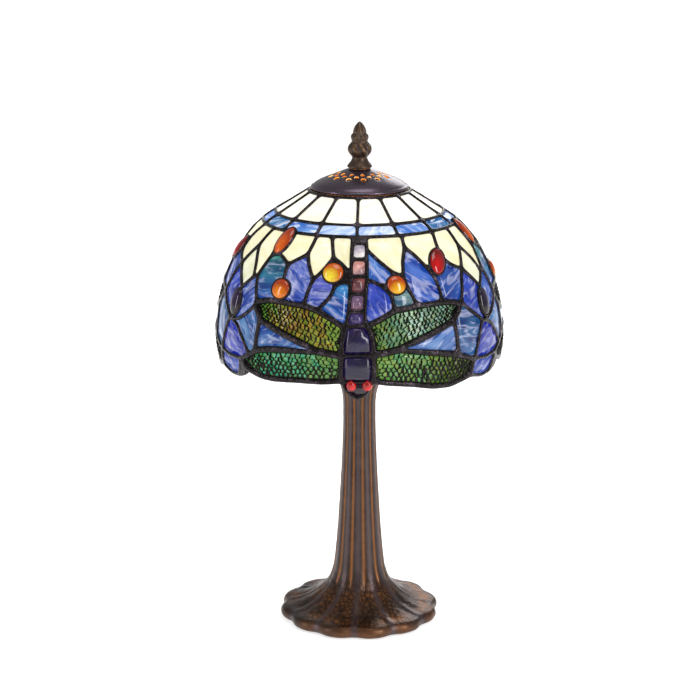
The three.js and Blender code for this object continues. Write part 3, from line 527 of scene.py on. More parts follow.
paneDrawing = {
    "crown": crownRow,
    "band": bandRow,
    "petal": [
        ([(-59.3, 39.8), (-46.5, 39.8), (-47, 50), (-47.2, 60), (-50.6, 75.2), (-53, 76.8), (-55.6, 67),
          (-61, 55.2), (-60.3, 47)], cream),
        ([(-61, 55.2), (-55.6, 67), (-53, 76.8), (-59, 86), (-67.8, 71)], [(240, 240, 206), (232, 238, 214)]),
        ([(-46.5, 39.8), (-25.2, 39.8), (-25.5, 47), (-26.3, 55), (-35.2, 64), (-40.8, 58.5), (-44, 57.5),
          (-47.2, 60), (-47, 50)], cream),
        ([(-25.2, 39.8), (-16, 39.8), (-12.9, 56.5), (-17, 66), (-20.8, 72.8), (-24.6, 62), (-26.3, 55),
          (-25.5, 47)], cream),
        ([(-16, 39.8), (-4.2, 39.8), (-4.2, 66.5), (-9, 60), (-12.9, 56.5)], cream),
        ([(3.4, 39.8), (24.2, 39.8), (23.4, 49.5), (20.4, 60), (19.3, 70), (14.5, 66.8), (8.8, 58.5),
          (3.4, 50)], cream),
        ([(24.2, 39.8), (45.8, 39.8), (43.8, 48), (42.8, 53), (38.5, 63), (31.9, 66), (27.5, 56),
          (23.4, 49.5)], cream),
        ([(45.8, 39.8), (60.7, 39.8), (59.7, 47), (59, 55.2), (52.2, 71), (46.8, 67), (43.2, 61.5), (42.8, 53),
          (43.8, 48)], cream),
    ],
    "skyLeft": [
        ([(-53, 76.8), (-50.6, 75.2), (-49, 84), (-46.8, 92), (-47.3, 95.5), (-50.5, 100.8), (-55.5, 106.5),
          (-60.5, 109.5), (-60, 97), (-59, 86)], [(52, 104, 196), (40, 84, 182)]),
        ([(-47.2, 60), (-44, 57.5), (-40.8, 58.5), (-35.2, 64), (-35.2, 89), (-41, 89.6), (-46.8, 92),
          (-49, 84), (-50.6, 75.2)], [(58, 158, 128), (44, 92, 190)]),
        ([(-35.2, 64), (-26.3, 55), (-24.6, 62), (-20.8, 72.8), (-22.4, 81), (-23.2, 90), (-35.2, 89)],
         [(134, 146, 222), (70, 104, 206)]),
        ([(-20.8, 72.8), (-17, 66), (-12, 67.5), (-10.8, 76), (-12.3, 83.5), (-17, 92.4), (-23.2, 90),
          (-22.4, 81)], [(84, 92, 196), (122, 132, 224)]),
        ([(-10.8, 76), (-8, 73.5), (-4.2, 74), (-4.4, 90), (-5.6, 103), (-11.5, 97.2), (-17, 92.4),
          (-12.3, 83.5)], [(70, 150, 205), (44, 108, 204)]),
    ],
    "skyRight": [
        ([(3.4, 50), (8.8, 58.5), (14.5, 66.8), (15.5, 76), (9, 75.5), (2.9, 71.3)],
         [(96, 148, 220), (92, 140, 222)]),
        ([(2.9, 71.3), (9, 75.5), (13, 82.5), (13.8, 92.2), (8.5, 97), (2, 102), (1.9, 90)],
         [(66, 84, 200), (60, 92, 206)]),
        ([(13, 82.5), (15.5, 76), (20.3, 77.5), (23.6, 90.2), (13.8, 92.2)], [(120, 160, 172), (150, 176, 150)]),
        ([(23.4, 49.5), (27.5, 56), (31.9, 66), (34.3, 73), (35.3, 80), (35.4, 89.6), (23.6, 90.2),
          (20.3, 77.5), (19.3, 70), (20.4, 60)], [(96, 136, 222), (54, 100, 204)]),
        ([(38.5, 63), (43.2, 61.5), (46.8, 67), (52.2, 71), (49.8, 77), (48, 84), (45.5, 93), (41, 90.8),
          (35.4, 89.6), (35.3, 80), (34.3, 73)], [(44, 92, 176), (42, 88, 178)]),
        ([(52.2, 71), (61, 86), (60, 97), (59.5, 109.5), (56.8, 108), (55, 105.5), (50, 99.5), (45.5, 93),
          (48, 84), (49.8, 77)], [(48, 76, 196), (44, 84, 190)]),
    ],
    "gap": [
        ([(-47.3, 95.5), (-43.6, 103.8), (-43.6, 110), (-44.8, 125), (-48, 128.8), (-52.3, 119.3),
          (-56.8, 111.3), (-60.5, 109.5), (-55.5, 106.5), (-50.5, 100.8)], [(96, 146, 200), (72, 124, 176)]),
        ([(-63.2, 108), (-60.5, 109.5), (-56.8, 111.3), (-52.3, 119.3), (-48, 128.8), (-53.5, 133.4),
          (-62, 134.2), (-69.7, 132.5), (-66.2, 118)], [(40, 58, 196), (36, 60, 190)]),
        ([(-69.7, 132.5), (-62, 134.2), (-53.5, 133.4), (-54.2, 140), (-56.5, 146.8), (-63, 147.3),
          (-70.8, 144.3)], [(72, 92, 198), (84, 112, 206)]),
        ([(45.5, 93), (50, 99.5), (55, 105.5), (56.8, 108), (53.8, 118), (50.3, 132.5), (46, 129.8),
          (41, 126.5), (40.6, 112), (39.8, 103.8), (42.8, 99.5)], [(40, 104, 146), (44, 96, 160)]),
    ],
    "gapCorner": [
        ([(-43.6, 103.8), (-36.5, 107.8), (-30, 111.6), (-22, 116.2), (-17.5, 119.8), (-30, 120.9),
          (-38, 122.3), (-44.8, 125), (-43.6, 110)], [(56, 116, 198), (108, 148, 196)]),
        ([(39.8, 103.8), (40.6, 112), (41, 126.5), (30, 122.9), (15.5, 118.4), (21, 114.6), (31.5, 108.8)],
         [(110, 148, 214), (120, 160, 214)]),
    ],
    "wingUpperLeft": [
        ([(-46.8, 92), (-41, 89.6), (-35.2, 89), (-23.2, 90), (-17, 92.4), (-11.5, 97.2), (-5.6, 103),
          (-6.5, 112), (-6.8, 122), (-12, 121), (-17.5, 119.8), (-22, 116.2), (-30, 111.6), (-36.5, 107.8),
          (-43.6, 103.8), (-47.3, 95.5)], [(150, 190, 40)]),
    ],
    "wingUpperRight": [
        ([(2, 102), (8.5, 97), (13.8, 92.2), (23.6, 90.2), (35.4, 89.6), (41, 90.8), (45.5, 93), (42.8, 99.5),
          (39.8, 103.8), (31.5, 108.8), (21, 114.6), (15.5, 118.4), (10, 120.3), (4.8, 121.5), (4.6, 113),
          (3.6, 106)], [(140, 196, 130)]),
    ],
    "wingLowerLeft": [
        ([(-53.5, 133.4), (-48, 128.8), (-44.8, 125), (-38, 122.3), (-30, 120.9), (-17.5, 119.8), (-12, 121),
          (-6.8, 122), (-7, 132), (-6.9, 139.8), (-15, 141.3), (-25, 141.7), (-35, 143.3), (-42, 143.2),
          (-47.5, 141), (-50.5, 139.6)], [(60, 190, 130)]),
    ],
    "wingLowerRight": [
        ([(4.8, 121.5), (10, 120.3), (15.5, 118.4), (30, 122.9), (41, 126.5), (46, 129.8), (50.3, 132.5),
          (49.2, 144.3), (38, 148.4), (30, 147.4), (20, 143.7), (10, 141.6), (4.8, 139.8), (5, 132)],
         [(130, 200, 60)]),
    ],
    "tail": [
        ([(-4.2, 45), (3.4, 45), (3.25, 57.2), (-4.2, 57.2)], [(255, 244, 244)]),
        ([(-4.2, 57.2), (3.25, 57.2), (2.95, 69.3), (-4.2, 69.3)], [(232, 160, 146), (236, 190, 180)]),
        ([(-4.2, 69.3), (2.95, 69.3), (2.4, 81), (-4.3, 81)], [(158, 92, 84), (142, 80, 84)]),
        ([(-4.3, 81), (2.4, 81), (1.9, 92.8), (-4.6, 92.8)], [(118, 92, 128), (136, 98, 114)]),
        ([(-4.6, 92.8), (1.9, 92.8), (2, 102), (-5.6, 103)], [(92, 76, 140), (86, 70, 124)]),
    ],
    "thorax": [
        ([(-5.6, 103), (2, 102), (3.6, 106), (4.6, 113), (4.8, 121.5), (-6.8, 122), (-6.5, 112)],
         [(40, 24, 84), (30, 20, 66)]),
        ([(-6.8, 122), (4.8, 121.5), (5, 132), (4.8, 139.8), (-6.9, 139.8), (-7, 132)],
         [(30, 20, 66), (28, 20, 60)]),
    ],
    "head": [
        ([(-6.9, 139.8), (4.8, 139.8), (3.6, 145.5), (1.6, 149.8), (-0.6, 151.8), (-1.8, 151.8), (-3.9, 149.6),
          (-5.8, 145.5)], [(26, 18, 34), (20, 14, 26)]),
    ],
    "solder": [
        ([(-4.2, 39.8), (3.4, 39.8), (3.4, 45), (-4.2, 45)], None),
        ([(-12, 67.5), (-9, 60), (-4.2, 66.5), (-4.2, 74), (-8, 73.5), (-10.8, 76)], None),
        ([(-12.9, 56.5), (-9, 60), (-12, 67.5), (-17, 66)], None),
        ([(14.5, 66.8), (19.3, 70), (20.3, 77.5), (15.5, 76)], None),
        ([(31.9, 66), (38.5, 63), (34.3, 73)], None),
        ([(9, 75.5), (15.5, 76), (13, 82.5)], None),
        ([(38.5, 63), (42.8, 53), (43.2, 61.5)], None),
        ([(-53.5, 133.4), (-50.5, 139.6), (-51.5, 144.3), (-56.5, 146.8), (-54.2, 140)], None),
    ],
}

# Half the lead's width on each kind of pane, in millimetres.
leadMargins = {
    "crown": 1.25, "band": 1.3, "petal": 1.45, "skyLeft": 1.5, "skyRight": 1.5, "gap": 1.55, "gapCorner": 2.3,
    "wingUpperLeft": 2.9, "wingUpperRight": 2.9, "wingLowerLeft": 2.7, "wingLowerRight": 2.7,
    "tail": 1.6, "thorax": 1.3, "head": 1.3, "solder": 0,
}
paneKinds = list(paneDrawing)


def flatDrawing():
    width = shadeShape["degreeWidth"]
    bm = bmesh.new()
    kindOf = bm.faces.layers.int.new("kind")
    paneOf = bm.faces.layers.int.new("pane")
    thirdOf = bm.faces.layers.int.new("third")
    for shift in (-120, 0, 120):
        for kind, panes in enumerate(paneDrawing.values()):
            for number, (outline, _) in enumerate(panes):
                face = bm.faces.new([bm.verts.new(((a + shift) * width, depth, 0)) for a, depth in outline])
                face[kindOf], face[paneOf], face[thirdOf] = kind, number, shift
    bmesh.ops.remove_doubles(bm, verts=bm.verts, dist=0.9)
    joinCrossings(bm)
    outer = [face for face in bm.faces if face[thirdOf] != 0]
    bmesh.ops.delete(bm, geom=outer, context="FACES")
    return bm, kindOf, paneOf


# Where one pane's corner lies on a neighbour's side, that side is split there.
def joinCrossings(bm):
    for vert in list(bm.verts):
        here = vert.co
        for edge in list(bm.edges):
            a, b = edge.verts
            if vert in (a, b) or min(a.co.x, b.co.x) - 1 > here.x or max(a.co.x, b.co.x) + 1 < here.x:
                continue
            if min(a.co.y, b.co.y) - 1 > here.y or max(a.co.y, b.co.y) + 1 < here.y:
                continue
            run = b.co - a.co
            share = (here - a.co).dot(run) / run.length_squared
            if 0.02 < share < 0.98 and (a.co + run * share - here).length < 0.8:
                _, fresh = bmesh.utils.edge_split(edge, a, share)
                bmesh.ops.weld_verts(bm, targetmap={fresh: vert})


def curveOntoShade(bm):
    for vert in bm.verts:
        vert.co = onShade(vert.co.x / shadeShape["degreeWidth"], vert.co.y)


def extrudeHem(bm, kindOf, rise):
    openSides = [edge for edge in bm.edges if edge.is_boundary and
                 (min(v.co.y for v in edge.verts) > 138 or max(v.co.y for v in edge.verts) < 5)]
    skirt = bmesh.ops.extrude_edge_only(bm, edges=openSides)["geom"]
    for item in skirt:
        if isinstance(item, bmesh.types.BMVert):
            item.co.y += 1.2 if item.co.y > 100 else -1.2
            item[rise] = 0.3
        elif isinstance(item, bmesh.types.BMFace):
            item[kindOf] = paneKinds.index("solder")


# Runs of lead are cut along their length first, and then across into rows that make the bead round.
def refineRuns(bm, rise, longest):
    groups = {}
    for edge in bm.edges:
        a, b = edge.verts
        if a[rise] < 0.9 or b[rise] < 0.9:
            continue
        cuts = math.ceil(edge.calc_length() / longest) - 1
        if cuts < 1:
            continue
        group = groups.setdefault(cuts, set())
        group.add(edge)
        for face in edge.link_faces:
            if len(face.verts) == 4:
                across = [e for e in face.edges if not (set(e.verts) & {a, b})]
                if across and max(v[rise] for v in across[0].verts) < 0.9:
                    group.add(across[0])
    for cuts, edges in groups.items():
        bmesh.ops.subdivide_edges(bm, edges=[e for e in edges if e.is_valid], cuts=cuts, use_grid_fill=True)
    slopes = [edge for edge in bm.edges if abs(edge.verts[0][rise] - edge.verts[1][rise]) > 0.6]
    bmesh.ops.subdivide_edges(bm, edges=slopes, cuts=2, use_grid_fill=True)


# An inset corner that ran too far from its own corner is drawn back.
def insetPane(bm, face, margin, rise):
    outer = [vert.co.copy() for vert in face.verts]
    bmesh.ops.inset_individual(bm, faces=[face], thickness=margin, use_even_offset=True)
    for vert, corner in zip(face.verts, outer):
        away = vert.co - corner
        if away.length > 1.9 * margin:
            vert.co = corner + away.normalized() * 1.9 * margin
        vert[rise] = 0.0


# One third of the lead's front face, and the outline of each pane that it leaves open.
def leadThird():
    bm, kindOf, paneOf = flatDrawing()
    rise = bm.verts.layers.float.new("rise")
    for vert in bm.verts:
        vert[rise] = 1.0
    extrudeHem(bm, kindOf, rise)
    curveOntoShade(bm)
    bmesh.ops.recalc_face_normals(bm, faces=bm.faces)
    panes = []
    for index, kind in enumerate(paneKinds):
        if not leadMargins[kind]:
            continue
        faces = [face for face in bm.faces if face[kindOf] == index]
        for face in faces:
            insetPane(bm, face, leadMargins[kind], rise)
            panes.append((kind, face[paneOf], [(azimuthOf(v.co), depthOfHeight(v.co.z)) for v in face.verts]))
        bmesh.ops.delete(bm, geom=faces, context="FACES_ONLY")
    refineRuns(bm, rise, shadeShape["segment"])
    return bm, panes


def beadLift(rise, foot, top):
    return foot + (top - foot) * math.sqrt(max(0.0, 1 - (1 - rise) ** 2))


# The second wall of a closed body: the faces are doubled and walls join the open sides.
def doubledBack(bm, faces):
    grown = bmesh.ops.extrude_face_region(bm, geom=faces, use_keep_orig=True)["geom"]
    return {item for item in grown if isinstance(item, bmesh.types.BMVert)}


def buildLead(bm):
    shape = shadeShape
    rise = bm.verts.layers.float["rise"]
    first = bm.verts[:] + bm.edges[:] + bm.faces[:]
    for turn in thirds[1:]:
        copy = bmesh.ops.duplicate(bm, geom=first)["geom"]
        bmesh.ops.rotate(bm, verts=[item for item in copy if isinstance(item, bmesh.types.BMVert)],
                         cent=(0, 0, 0), matrix=Matrix.Rotation(math.radians(turn), 3, "Z"))
    bmesh.ops.remove_doubles(bm, verts=bm.verts, dist=0.08)
    back = doubledBack(bm, bm.faces[:])
    for vert in bm.verts:
        azimuth, depth = azimuthOf(vert.co), depthOfHeight(vert.co.z)
        lump = shape["wander"] * (noise.noise(vert.co * 0.35) + 0.5 * noise.noise(vert.co * 1.1))
        if vert in back:
            lift = beadLift(vert[rise], shape["backFoot"], shape["backTop"])
        else:
            lift = beadLift(vert[rise], shape["beadFoot"], shape["beadTop"]) + lump * vert[rise]
        sway = 0.12 * noise.noise(vert.co * 0.5 + Vector((7, 3, 1)))
        vert.co = onShade(azimuth + sway, depth + sway, lift)
    bmesh.ops.recalc_face_normals(bm, faces=bm.faces)
    finishPiece("shadeLead", bm, "shade", look["solder"], ["shade_lattice"], levels=1)


print("drawing starts")
leadMesh, paneOutlines = leadThird()
print("panes in one third:", len(paneOutlines), "lead faces:", len(leadMesh.faces))
buildLead(leadMesh)
print("lead ready")


# Glass. Each pane is cut from a sheet with its own flow direction, pillowed a little and laid in the lead.

glassShape = {
    "cell": 6.0,             # grid that follows the wall's curve
    "wingCell": 3.0,
    "underLead": 0.45,       # how far the glass runs under the lead
    "pillow": 0.35,
    "bodyPillow": 1.5,
    "bulbPlace": (0, 0, 257),
    "glowDistance": 95,
    "glowPower": 0.5,
}

glassPieces = {
    "crown": ("crownGlass", "crown_glass", "crown", "crown_glass"),
    "band": ("bandGlass", "band_glass", "band", "band_glass"),
    "petal": ("petalGlass", "petal_glass", "petal", "petal_glass"),
    "skyRight": ("skyGlassRight", "sky_glass_right", "sky", "sky_glass"),
    "skyLeft": ("skyGlassLeft", "sky_glass_left", "sky", "sky_glass"),
    "gap": ("gapGlass", "gap_glass", "sky", "sky_glass"),
    "wingUpperRight": ("wingUpperRight", "wing_upper_right", "wing", "wing_glass"),
    "wingUpperLeft": ("wingUpperLeft", "wing_upper_left", "wing", "wing_glass"),
    "wingLowerRight": ("wingLowerRight", "wing_lower_right", "wing", "wing_glass"),
    "wingLowerLeft": ("wingLowerLeft", "wing_lower_left", "wing", "wing_glass"),
    "tail": ("dragonflyBody", "dragonfly_body", "tail", "body_glass"),
}
sharedPiece = {"gapCorner": "gap", "thorax": "tail", "head": "tail"}

# Glass colours along each wing, from its left end to its right end; each place takes one of a pair.
wingTones = {
    "wingUpperLeft": [[(122, 176, 62), (86, 140, 44)], [(176, 150, 40), (150, 98, 26)],
                      [(186, 140, 36), (140, 150, 46)], [(168, 186, 66), (120, 160, 60)]],
    "wingUpperRight": [[(150, 170, 80), (96, 140, 74)], [(136, 176, 120), (104, 160, 130)],
                       [(140, 190, 176), (150, 172, 150)], [(146, 190, 180), (160, 176, 170)]],
    "wingLowerLeft": [[(96, 170, 96), (60, 140, 110)], [(74, 196, 156), (52, 150, 116)],
                      [(70, 190, 146), (80, 160, 90)], [(120, 170, 80), (86, 150, 90)]],
    "wingLowerRight": [[(110, 180, 90), (140, 172, 66)], [(96, 180, 120), (120, 160, 66)],
                       [(130, 150, 60), (90, 140, 66)], [(104, 122, 60), (84, 104, 60)]],
}


def openPane(bm):
    return {
        "flow": bm.loops.layers.uv.new("glassFlow"),
        "tone": bm.verts.layers.float_color.new("paneTone"),
        "paintedBacklight": bm.verts.layers.float.new("paintedBacklight"),
    }


def gridCuts(bm, geom, cell, reach):
    for axis in (0, 1):
        normal = (1, 0, 0) if axis == 0 else (0, 1, 0)
        steps = int(reach[axis] / cell)
        for k in range(-steps, steps + 1):
            place = tuple(cell * k * n for n in normal)
            geom = bmesh.ops.bisect_plane(bm, geom=geom, dist=0.02, plane_co=place, plane_no=normal)["geom"]
    return geom


# Painted backlight: emission on the glass that stands for the bulb's light, brightest near the bulb and falling off
# with distance.
def paintedBacklightAt(place, chance):
    distance = (place - Vector(glassShape["bulbPlace"])).length
    return chance * (glassShape["glowDistance"] / distance) ** glassShape["glowPower"]


def addPane(bm, layers, kind, outline, tones, turn):
    middle = (sum(a for a, _ in outline) / len(outline), sum(d for _, d in outline) / len(outline))
    width = math.radians(outlineAt(middle[1]).x)
    flat = [Vector(((a - middle[0]) * width, d - middle[1], 0)) for a, d in outline]
    flat = [place + place.normalized() * glassShape["underLead"] for place in flat]
    verts = [bm.verts.new(place) for place in flat]
    face = bm.faces.new(verts)
    reach = [max(abs(place[axis]) for place in flat) for axis in (0, 1)]
    isWing = kind in wingTones
    geom = gridCuts(bm, verts + list(face.edges) + [face], glassShape["wingCell" if isWing else "cell"], reach)
    faces = {item for item in geom if isinstance(item, bmesh.types.BMFace)}
    inner = {v for f in faces for v in f.verts if not v.is_boundary}
    back = doubledBack(bm, list(faces))
    verts = {v for f in faces for v in f.verts} | back
    spot = {v: v.co.copy() for v in verts}
    angle, shift = random.uniform(-1.1, 1.1), Vector((random.uniform(0, 400), random.uniform(0, 400)))
    chance = random.uniform(0.93, 1.07)
    turned = Matrix.Rotation(angle, 2)
    pillow = glassShape["bodyPillow" if kind in ("thorax", "head") else "pillow"]
    front, backFace = shadeShape["glassFace"], shadeShape["glassBack"]
    if isWing:
        front, backFace, pillow = front - 0.7, backFace - 0.2, 0
    for vert in sorted(verts, key=lambda v: (spot[v].x, spot[v].y, v in back)):
        x, y, _ = spot[vert]
        if isWing:
            bands = wingTones[kind]
            along = min(len(bands) - 1, max(0, int((x / reach[0] + 1) / 2 * len(bands) + random.uniform(-0.4, 0.4))))
            colour = Vector(tone(*random.choice(bands[along])))
        else:
            share = (y / reach[1] + 1) / 2
            colour = Vector(tone(*tones[0])).lerp(Vector(tone(*tones[-1])), max(0, min(1, share)))
        lift = backFace if vert in back else front + (pillow if vert in inner else 0)
        vert.co = onShade(middle[0] + x / width + turn, middle[1] + y, lift)
        vert[layers["tone"]] = (*colour, 1)
        vert[layers["paintedBacklight"]] = paintedBacklightAt(vert.co, chance)
    for item in {f for v in verts for f in v.link_faces}:
        for loop in item.loops:
            flow = turned @ Vector((spot[loop.vert].x, spot[loop.vert].y))
            loop[layers["flow"]].uv = flow + shift


# Panes left of a dragonfly's body belong with the third before it.
def buildGlass():
    for number, turn in enumerate(thirds, 1):
        for piece, (name, node, finish, slot) in glassPieces.items():
            bm = bmesh.new()
            layers = openPane(bm)
            for kind, pane, outline in paneOutlines:
                if sharedPiece.get(kind, kind) != piece:
                    continue
                middle = sum(a for a, _ in outline) / len(outline)
                extra = 120 if middle < -5 and piece != "tail" else 0
                addPane(bm, layers, kind, outline, paneDrawing[kind][pane][1], turn + extra)
            bmesh.ops.recalc_face_normals(bm, faces=bm.faces)
            finishPiece(f"{name}_{number}", bm, "shade", look[finish], [f"{node}_{number}"])
        print("glass of third", number)


buildGlass()


# Wing filigree: a brick grid of thin metal over each wing, its cells shaken out of line.

filigreeShape = {"columns": 20, "rows": 6, "lowerRows": 6, "line": 1.35, "shake": 0.42, "smallest": 0.2,
                 "face": -0.35, "back": -1.5}


def openingAt(outline, azimuth):
    crossings = []
    for (a, d), (b, e) in zip(outline, outline[1:] + outline[:1]):
        if (a - azimuth) * (b - azimuth) < 0:
            crossings.append(d + (e - d) * (azimuth - a) / (b - a))
    return min(crossings) - 0.3, max(crossings) + 0.3


def addFiligree(bm, kind, outline, turn):
    shape = filigreeShape
    columns, rows = shape["columns"], shape["lowerRows" if "Lower" in kind else "rows"]
    before = set(bm.verts)
    bmesh.ops.create_grid(bm, x_segments=2 * columns, y_segments=rows, size=1)
    fresh = [v for v in bm.verts if v not in before]
    joints = []
    for edge in {e for v in fresh for e in v.link_edges}:
        a, b = (v.co for v in edge.verts)
        if abs(a.x - b.x) < 1e-4 and abs(a.x) < 0.999:
            column = round((a.x + 1) * columns)
            row = int((a.y + b.y + 2) / 4 * rows)
            if (column + row) % 2:
                joints.append(edge)
    bmesh.ops.dissolve_edges(bm, edges=joints, use_verts=False)
    low, high = min(a for a, _ in outline) + 0.15, max(a for a, _ in outline) - 0.15
    for vert in fresh:
        u, v = (vert.co.x + 1) / 2, (vert.co.y + 1) / 2
        if 0.001 < u < 0.999:
            u += random.uniform(-1, 1) * 0.7 * shape["shake"] / columns
        azimuth = low + (high - low) * u
        top, bottom = openingAt(outline, azimuth)
        if 0.001 < v < 0.999:
            v += random.uniform(-1, 1) * shape["shake"] / rows
        vert.co = onShade(azimuth + turn, top + (bottom - top) * v, shape["face"])
    faces = list({f for v in fresh for f in v.link_faces})
    bmesh.ops.inset_individual(bm, faces=faces, thickness=shape["line"], use_even_offset=False)
    bmesh.ops.delete(bm, geom=[f for f in faces if f.calc_area() > shape["smallest"]], context="FACES")


def buildFiligree():
    for number, turn in enumerate(thirds, 1):
        bm = bmesh.new()
        for kind, _, outline in paneOutlines:
            if kind in wingTones:
                addFiligree(bm, kind, outline, turn + (120 if "Left" in kind else 0))
        back = doubledBack(bm, bm.faces[:])
        for vert in back:
            vert.co = onShade(azimuthOf(vert.co), depthOfHeight(vert.co.z), filigreeShape["back"])
        bmesh.ops.recalc_face_normals(bm, faces=bm.faces)
        finishPiece(f"wingFiligree_{number}", bm, "shade", look["wingMetal"], levels=1)


buildFiligree()
print("filigree ready")


# Jewels: domed cast glass on an oval, in a soldered collar.

jewelShape = {"steps": 40, "dome": 2.6, "base": 3.4, "collar": 1.3, "collarRise": 0.9}

# azimuth, depth, half width, half height, tilt, rim colour, hot spot colour, where the hot spot lies (the darker rim
# is painted shade, the hot spot painted light)
jewels = [
    (-43.4, 48, 5.2, 10.6, -6, (150, 44, 0), (226, 100, 0), (0.1, -0.5)),
    (-35, 81.5, 6.7, 6.5, 0, (160, 52, 0), (246, 140, 0), (0.0, -0.55)),
    (-12, 67.5, 6.7, 6.6, 0, (196, 84, 0), (255, 236, 60), (-0.3, -0.5)),
    (15.5, 76, 6.2, 6.1, -35, (180, 66, 0), (255, 196, 10), (0.45, -0.5)),
    (38.5, 63, 5.8, 9.6, -28, (110, 0, 0), (206, 0, 6), (-0.2, -0.5)),
]
darkJewel = (60, 97, 5.6, 9.0, 0, (14, 8, 18), (40, 20, 62), (0.2, 0.3))
eyes = [(-3.4, 142.2, 3.2, 3.5, 12, (150, 0, 0), (240, 0, 8), (0.4, -0.4)),
        (2.7, 142.2, 3.2, 3.5, -12, (150, 0, 0), (240, 0, 8), (0.4, -0.4))]


def wallFrame(azimuth, depth, tilt):
    middle = onShade(azimuth, depth)
    outwards = (onShade(azimuth, depth, 1) - middle).normalized()
    across = (onShade(azimuth + 0.5, depth) - middle).normalized()
    up = outwards.cross(across)
    return Matrix.Translation(middle) @ Matrix((across, up, outwards)).transposed().to_4x4() @ \
        Matrix.Rotation(math.radians(tilt), 4, "Z")


def spunRing(profile, steps):
    part = bmesh.new()
    verts = [part.verts.new((radius, 0, height)) for radius, height in profile]
    edges = [part.edges.new(pair) for pair in zip(verts, verts[1:])]
    bmesh.ops.spin(part, geom=verts + edges, cent=(0, 0, 0), axis=(0, 0, 1), angle=2 * math.pi,
                   steps=steps, use_merge=True)
    bmesh.ops.remove_doubles(part, verts=part.verts, dist=0.001)
    bmesh.ops.recalc_face_normals(part, faces=part.faces)
    return part


def pourInto(bm, part):
    mesh = bpy.data.meshes.new("pour")
    part.to_mesh(mesh)
    part.free()
    before = len(bm.verts)
    bm.from_mesh(mesh)
    bpy.data.meshes.remove(mesh)
    bm.verts.ensure_lookup_table()
    return bm.verts[before:]


def addJewel(glass, layers, collars, place, turn, dome, sunk=0.0):
    azimuth, depth, halfWidth, halfHeight, tilt, rimTone, paintedHotSpotTone, paintedHotSpot = place
    shape = jewelShape
    frameHere = wallFrame(azimuth + turn, depth, tilt)
    domeCurve = [(math.sin(k * math.pi / 16), dome * math.cos(k * math.pi / 16) - sunk) for k in range(9)]
    fresh = pourInto(glass, spunRing(domeCurve + [(1, -shape["base"]), (0, -shape["base"])], shape["steps"]))
    for vert in fresh:
        x, y = vert.co.x, vert.co.y
        # Darker at the rim and brightest at a hot spot: painted shade and painted light of the bulb through the dome.
        share = max(0.0, 1 - math.hypot(x - paintedHotSpot[0], y - paintedHotSpot[1]) / 1.05)
        colour = Vector(tone(*rimTone)).lerp(Vector(tone(*paintedHotSpotTone)), share ** 0.8)
        vert[layers["tone"]] = (*colour, 1)
        vert[layers["paintedBacklight"]] = 1.0
        vert.co = frameHere @ Vector((x * halfWidth, y * halfHeight, vert.co.z))
    if collars is None:
        return
    width, top = shape["collar"], shape["collarRise"]
    ringProfile = [(0, -2.4), (0, 0.2), (0.25 * width, top * 0.85), (0.55 * width, top), (0.85 * width, top * 0.7),
                   (1.05 * width, -0.2), (1.05 * width, -2.4), (0, -2.4)]
    part = spunRing([(10 + r, z) for r, z in ringProfile], shape["steps"])
    for vert in pourInto(collars, part):
        flat = Vector((vert.co.x, vert.co.y))
        out = flat.normalized()
        beyond = flat.length - 10 - 0.25
        vert.co = frameHere @ Vector((out.x * (halfWidth + beyond), out.y * (halfHeight + beyond), vert.co.z))


def buildJewels():
    for number, turn in enumerate(thirds, 1):
        glass, dark, collars = bmesh.new(), bmesh.new(), bmesh.new()
        layers, darkLayers = openPane(glass), openPane(dark)
        for place in jewels:
            shift = 120 if place[0] < 0 else 0
            addJewel(glass, layers, collars, place, turn + shift, jewelShape["dome"])
        for place in eyes:
            addJewel(glass, layers, None, place, turn, 2.4, -0.2)
        addJewel(dark, darkLayers, collars, darkJewel, turn, 2.8)
        for bm, name, finish, slot, nodes in (
                (glass, "jewels", "jewel", "jewel_glass", []),
                (dark, "gapJewel", "jewel", "jewel_glass", [f"gap_jewel_{number}"]),
                (collars, "jewelCollars", "solder", "patina", [])):
            finishPiece(f"{name}_{number}", bm, "shade", look[finish], nodes)


buildJewels()
print("jewels ready")


# Vented cap: a spun sheet cone with a flat crown, a rolled rim and three rings of diamond vents.

capShape = {
    "rim": 32.4,
    "roll": 1.3,
    "rimHeight": 310.4,
    "slope": ((0, 322.6), (8.8, 322.6), (27, 315.3), (30.4, 313.4), (32.4, 311.7)),
    "wall": 1.1,
    "steps": 72,
    "turn": 2.5,
    "litRadius": 24,
    "litSlope": 0.6,         # faces leaning further over than this take the lamp light
    "radii": (3.4, 6, 8.8, 11, 13.1, 14.4, 15.7, 17.1, 18.1, 19.8, 21.6, 24, 27, 29, 30.4, 31.6),
    "ventRings": ((14.4, 5), (17.1, -10), (19.8, 5)),   # radius, first azimuth
    "vents": 12,
}


def domeHeight(radius):
    slope = capShape["slope"]
    for (innerRadius, high), (outerRadius, low) in zip(slope, slope[1:]):
        if radius <= outerRadius:
            return high + (low - high) * (radius - innerRadius) / (outerRadius - innerRadius)
    return slope[-1][1]


